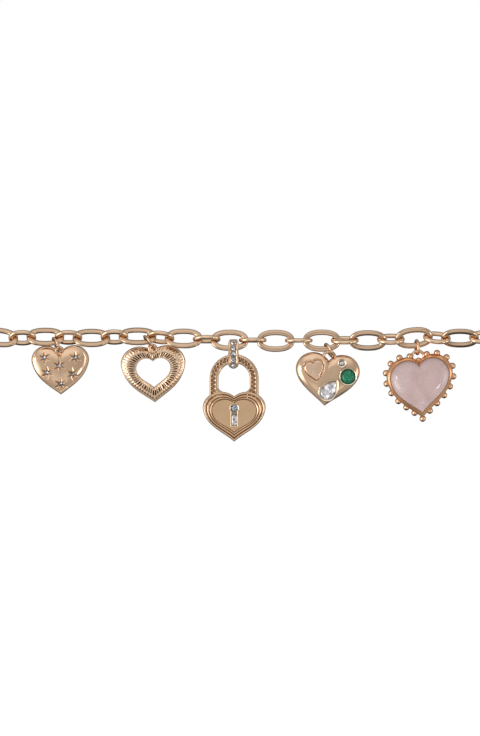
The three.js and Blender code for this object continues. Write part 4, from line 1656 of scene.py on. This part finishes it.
@dataclass
class Studio:
    """The camera, the surroundings' light and the floor."""

    distance: float = 2.0
    view_height: float = 206.1  # mm seen at the charms, top to bottom
    centre_z: float = -126.23
    floor_z: float = -0.32
    ambient: float = 0.455
    darkest: float = 0.03
    glows: tuple = (
        Glow((-0.6, -0.8, 0.15), 5, 65, 0.12),  # the side of the room that is brighter
        Glow((-0.85, -0.55, -0.15), 12, 32, 1.3),  # broad light at the left
        Glow((-0.8, -0.62, -0.22), 6, 16, 1.7),  # its bright middle
        Glow((-0.66, -0.74, 0.12), 2, 4.5, 8.0),  # small light at the left
        Glow((0.9, -0.42, -0.05), 8, 22, 1.2),  # slimmer light at the right
        Glow((0.62, -0.72, -0.34), 2, 5, 5.5),  # small light low at the right
        Glow((0.585, -0.725, -0.385), 2, 5, 4.0),  # and its lower half
        Glow((0.0, -0.88, -0.44), 4, 20, 0.45),  # low in front
        Glow((0.0, -0.62, 0.78), 18, 42, 0.4),  # above the front
        Glow((0.0, 0.1, -1.0), 20, 46, -0.38),  # dark below
        Glow((0.0, 0.5, 0.85), 15, 48, -0.12),  # dark above
        Glow((0.0, 1.0, -0.3), 30, 75, -0.27),  # dark behind
    )
    lamps: tuple = (("key", (-0.9, -1.2, 0.9), 9.0), ("fill", (1.1, -1.1, 0.3), 5.0))  # name, place, power
    lamp_size: float = 0.9

    def camera(self) -> None:
        """Makes the camera, level with the charms."""
        data = bpy.data.cameras.new("camera")
        data.sensor_width = 36
        data.lens = data.sensor_width * self.distance / (self.view_height * MM)
        data.clip_start, data.clip_end = 0.1, 50
        camera = bpy.data.objects.new("camera", data)
        bpy.context.collection.objects.link(camera)
        camera.location = (0, LINE_Y * MM - self.distance, self.centre_z * MM)
        camera.rotation_euler = (QUARTER, 0, 0)
        bpy.context.scene.camera = camera

    def surroundings(self) -> None:
        """Makes the white surroundings and the soft lights that the metal reflects."""
        world = bpy.data.worlds.new("studio")
        bpy.context.scene.world = world
        world.use_nodes = True
        tree = Tree(world.node_tree)
        tree.nodes.clear()
        direction = tree.add("TexCoord", {}).outputs["Generated"]
        total = self.ambient
        for glow in self.glows:
            aim = {0: direction, 1: Vector(glow.towards).normalized()}
            near = tree.add("VectorMath", aim, operation="DOT_PRODUCT").outputs["Value"]
            edge, full = (math.cos(math.radians(angle)) for angle in (glow.outer, glow.inner))
            inputs = {"Value": near, "From Min": edge, "From Max": full, "To Max": glow.strength}
            light = tree.add("MapRange", inputs, interpolation_type="SMOOTHSTEP").outputs["Result"]
            total = tree.add("Math", {0: light, 1: total}).outputs["Value"]
        strength = tree.add("Math", {0: total, 1: self.darkest}, operation="MAXIMUM").outputs["Value"]
        lit = tree.add("Background", {"Color": (1.0, 0.99, 0.97, 1), "Strength": strength})
        plain = tree.add("Background", {"Color": (1, 1, 1, 1)})
        seen = tree.add("LightPath", {}).outputs["Is Camera Ray"]
        mix = tree.add("MixShader", {0: seen, 1: lit.outputs["Background"], 2: plain.outputs["Background"]})
        tree.add("OutputWorld", {"Surface": mix.outputs["Shader"]})

    def floor(self) -> None:
        """Makes the plain pale floor."""
        deselect()
        middle = (0, 0, self.floor_z)
        bpy.ops.mesh.primitive_circle_add(vertices=96, radius=9, fill_type="NGON", location=middle)
        piece = bpy.context.active_object
        piece.name = "studio_floor"
        shader = Shader("floor_pale")
        shader.set(Base_Color=(0.9, 0.9, 0.9, 1), Roughness=0.9)
        shader.set(Emission_Color=(1, 1, 1, 1), Emission_Strength=1.0)
        piece.data.materials.append(shader.material)
        piece.visible_glossy = False

    def light(self) -> None:
        """Makes the soft lights that reach the stones and the floor."""
        for name, place, power in self.lamps:
            data = bpy.data.lights.new(name, "AREA")
            data.shape, data.size, data.energy = "DISK", self.lamp_size, power
            lamp = bpy.data.objects.new(name, data)
            bpy.context.collection.objects.link(lamp)
            lamp.location = place
            aim = Vector((0, LINE_Y, LINE_Z)) * MM - Vector(place)
            lamp.rotation_euler = aim.to_track_quat("-Z", "Y").to_euler()
            lamp.visible_glossy = False

    def build(self) -> None:
        """Sets up the studio."""
        self.camera()
        self.surroundings()
        self.floor()
        self.light()
        view = bpy.context.scene.view_settings
        view.view_transform = "Standard"
        view.look = "None"


def main() -> None:
    """Builds the necklace's pieces in order."""
    logging.basicConfig(level=logging.INFO, format="%(message)s")
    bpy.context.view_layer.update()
    Studio().build()
    for kind in (Chain, Clasp, StarburstHeart, FlutedHeart, Bail, Padlock, GemHeart, QuartzHeart):
        kind().build()
        log.info("%s built", kind.__name__)


if __name__ == "__main__":
    main()
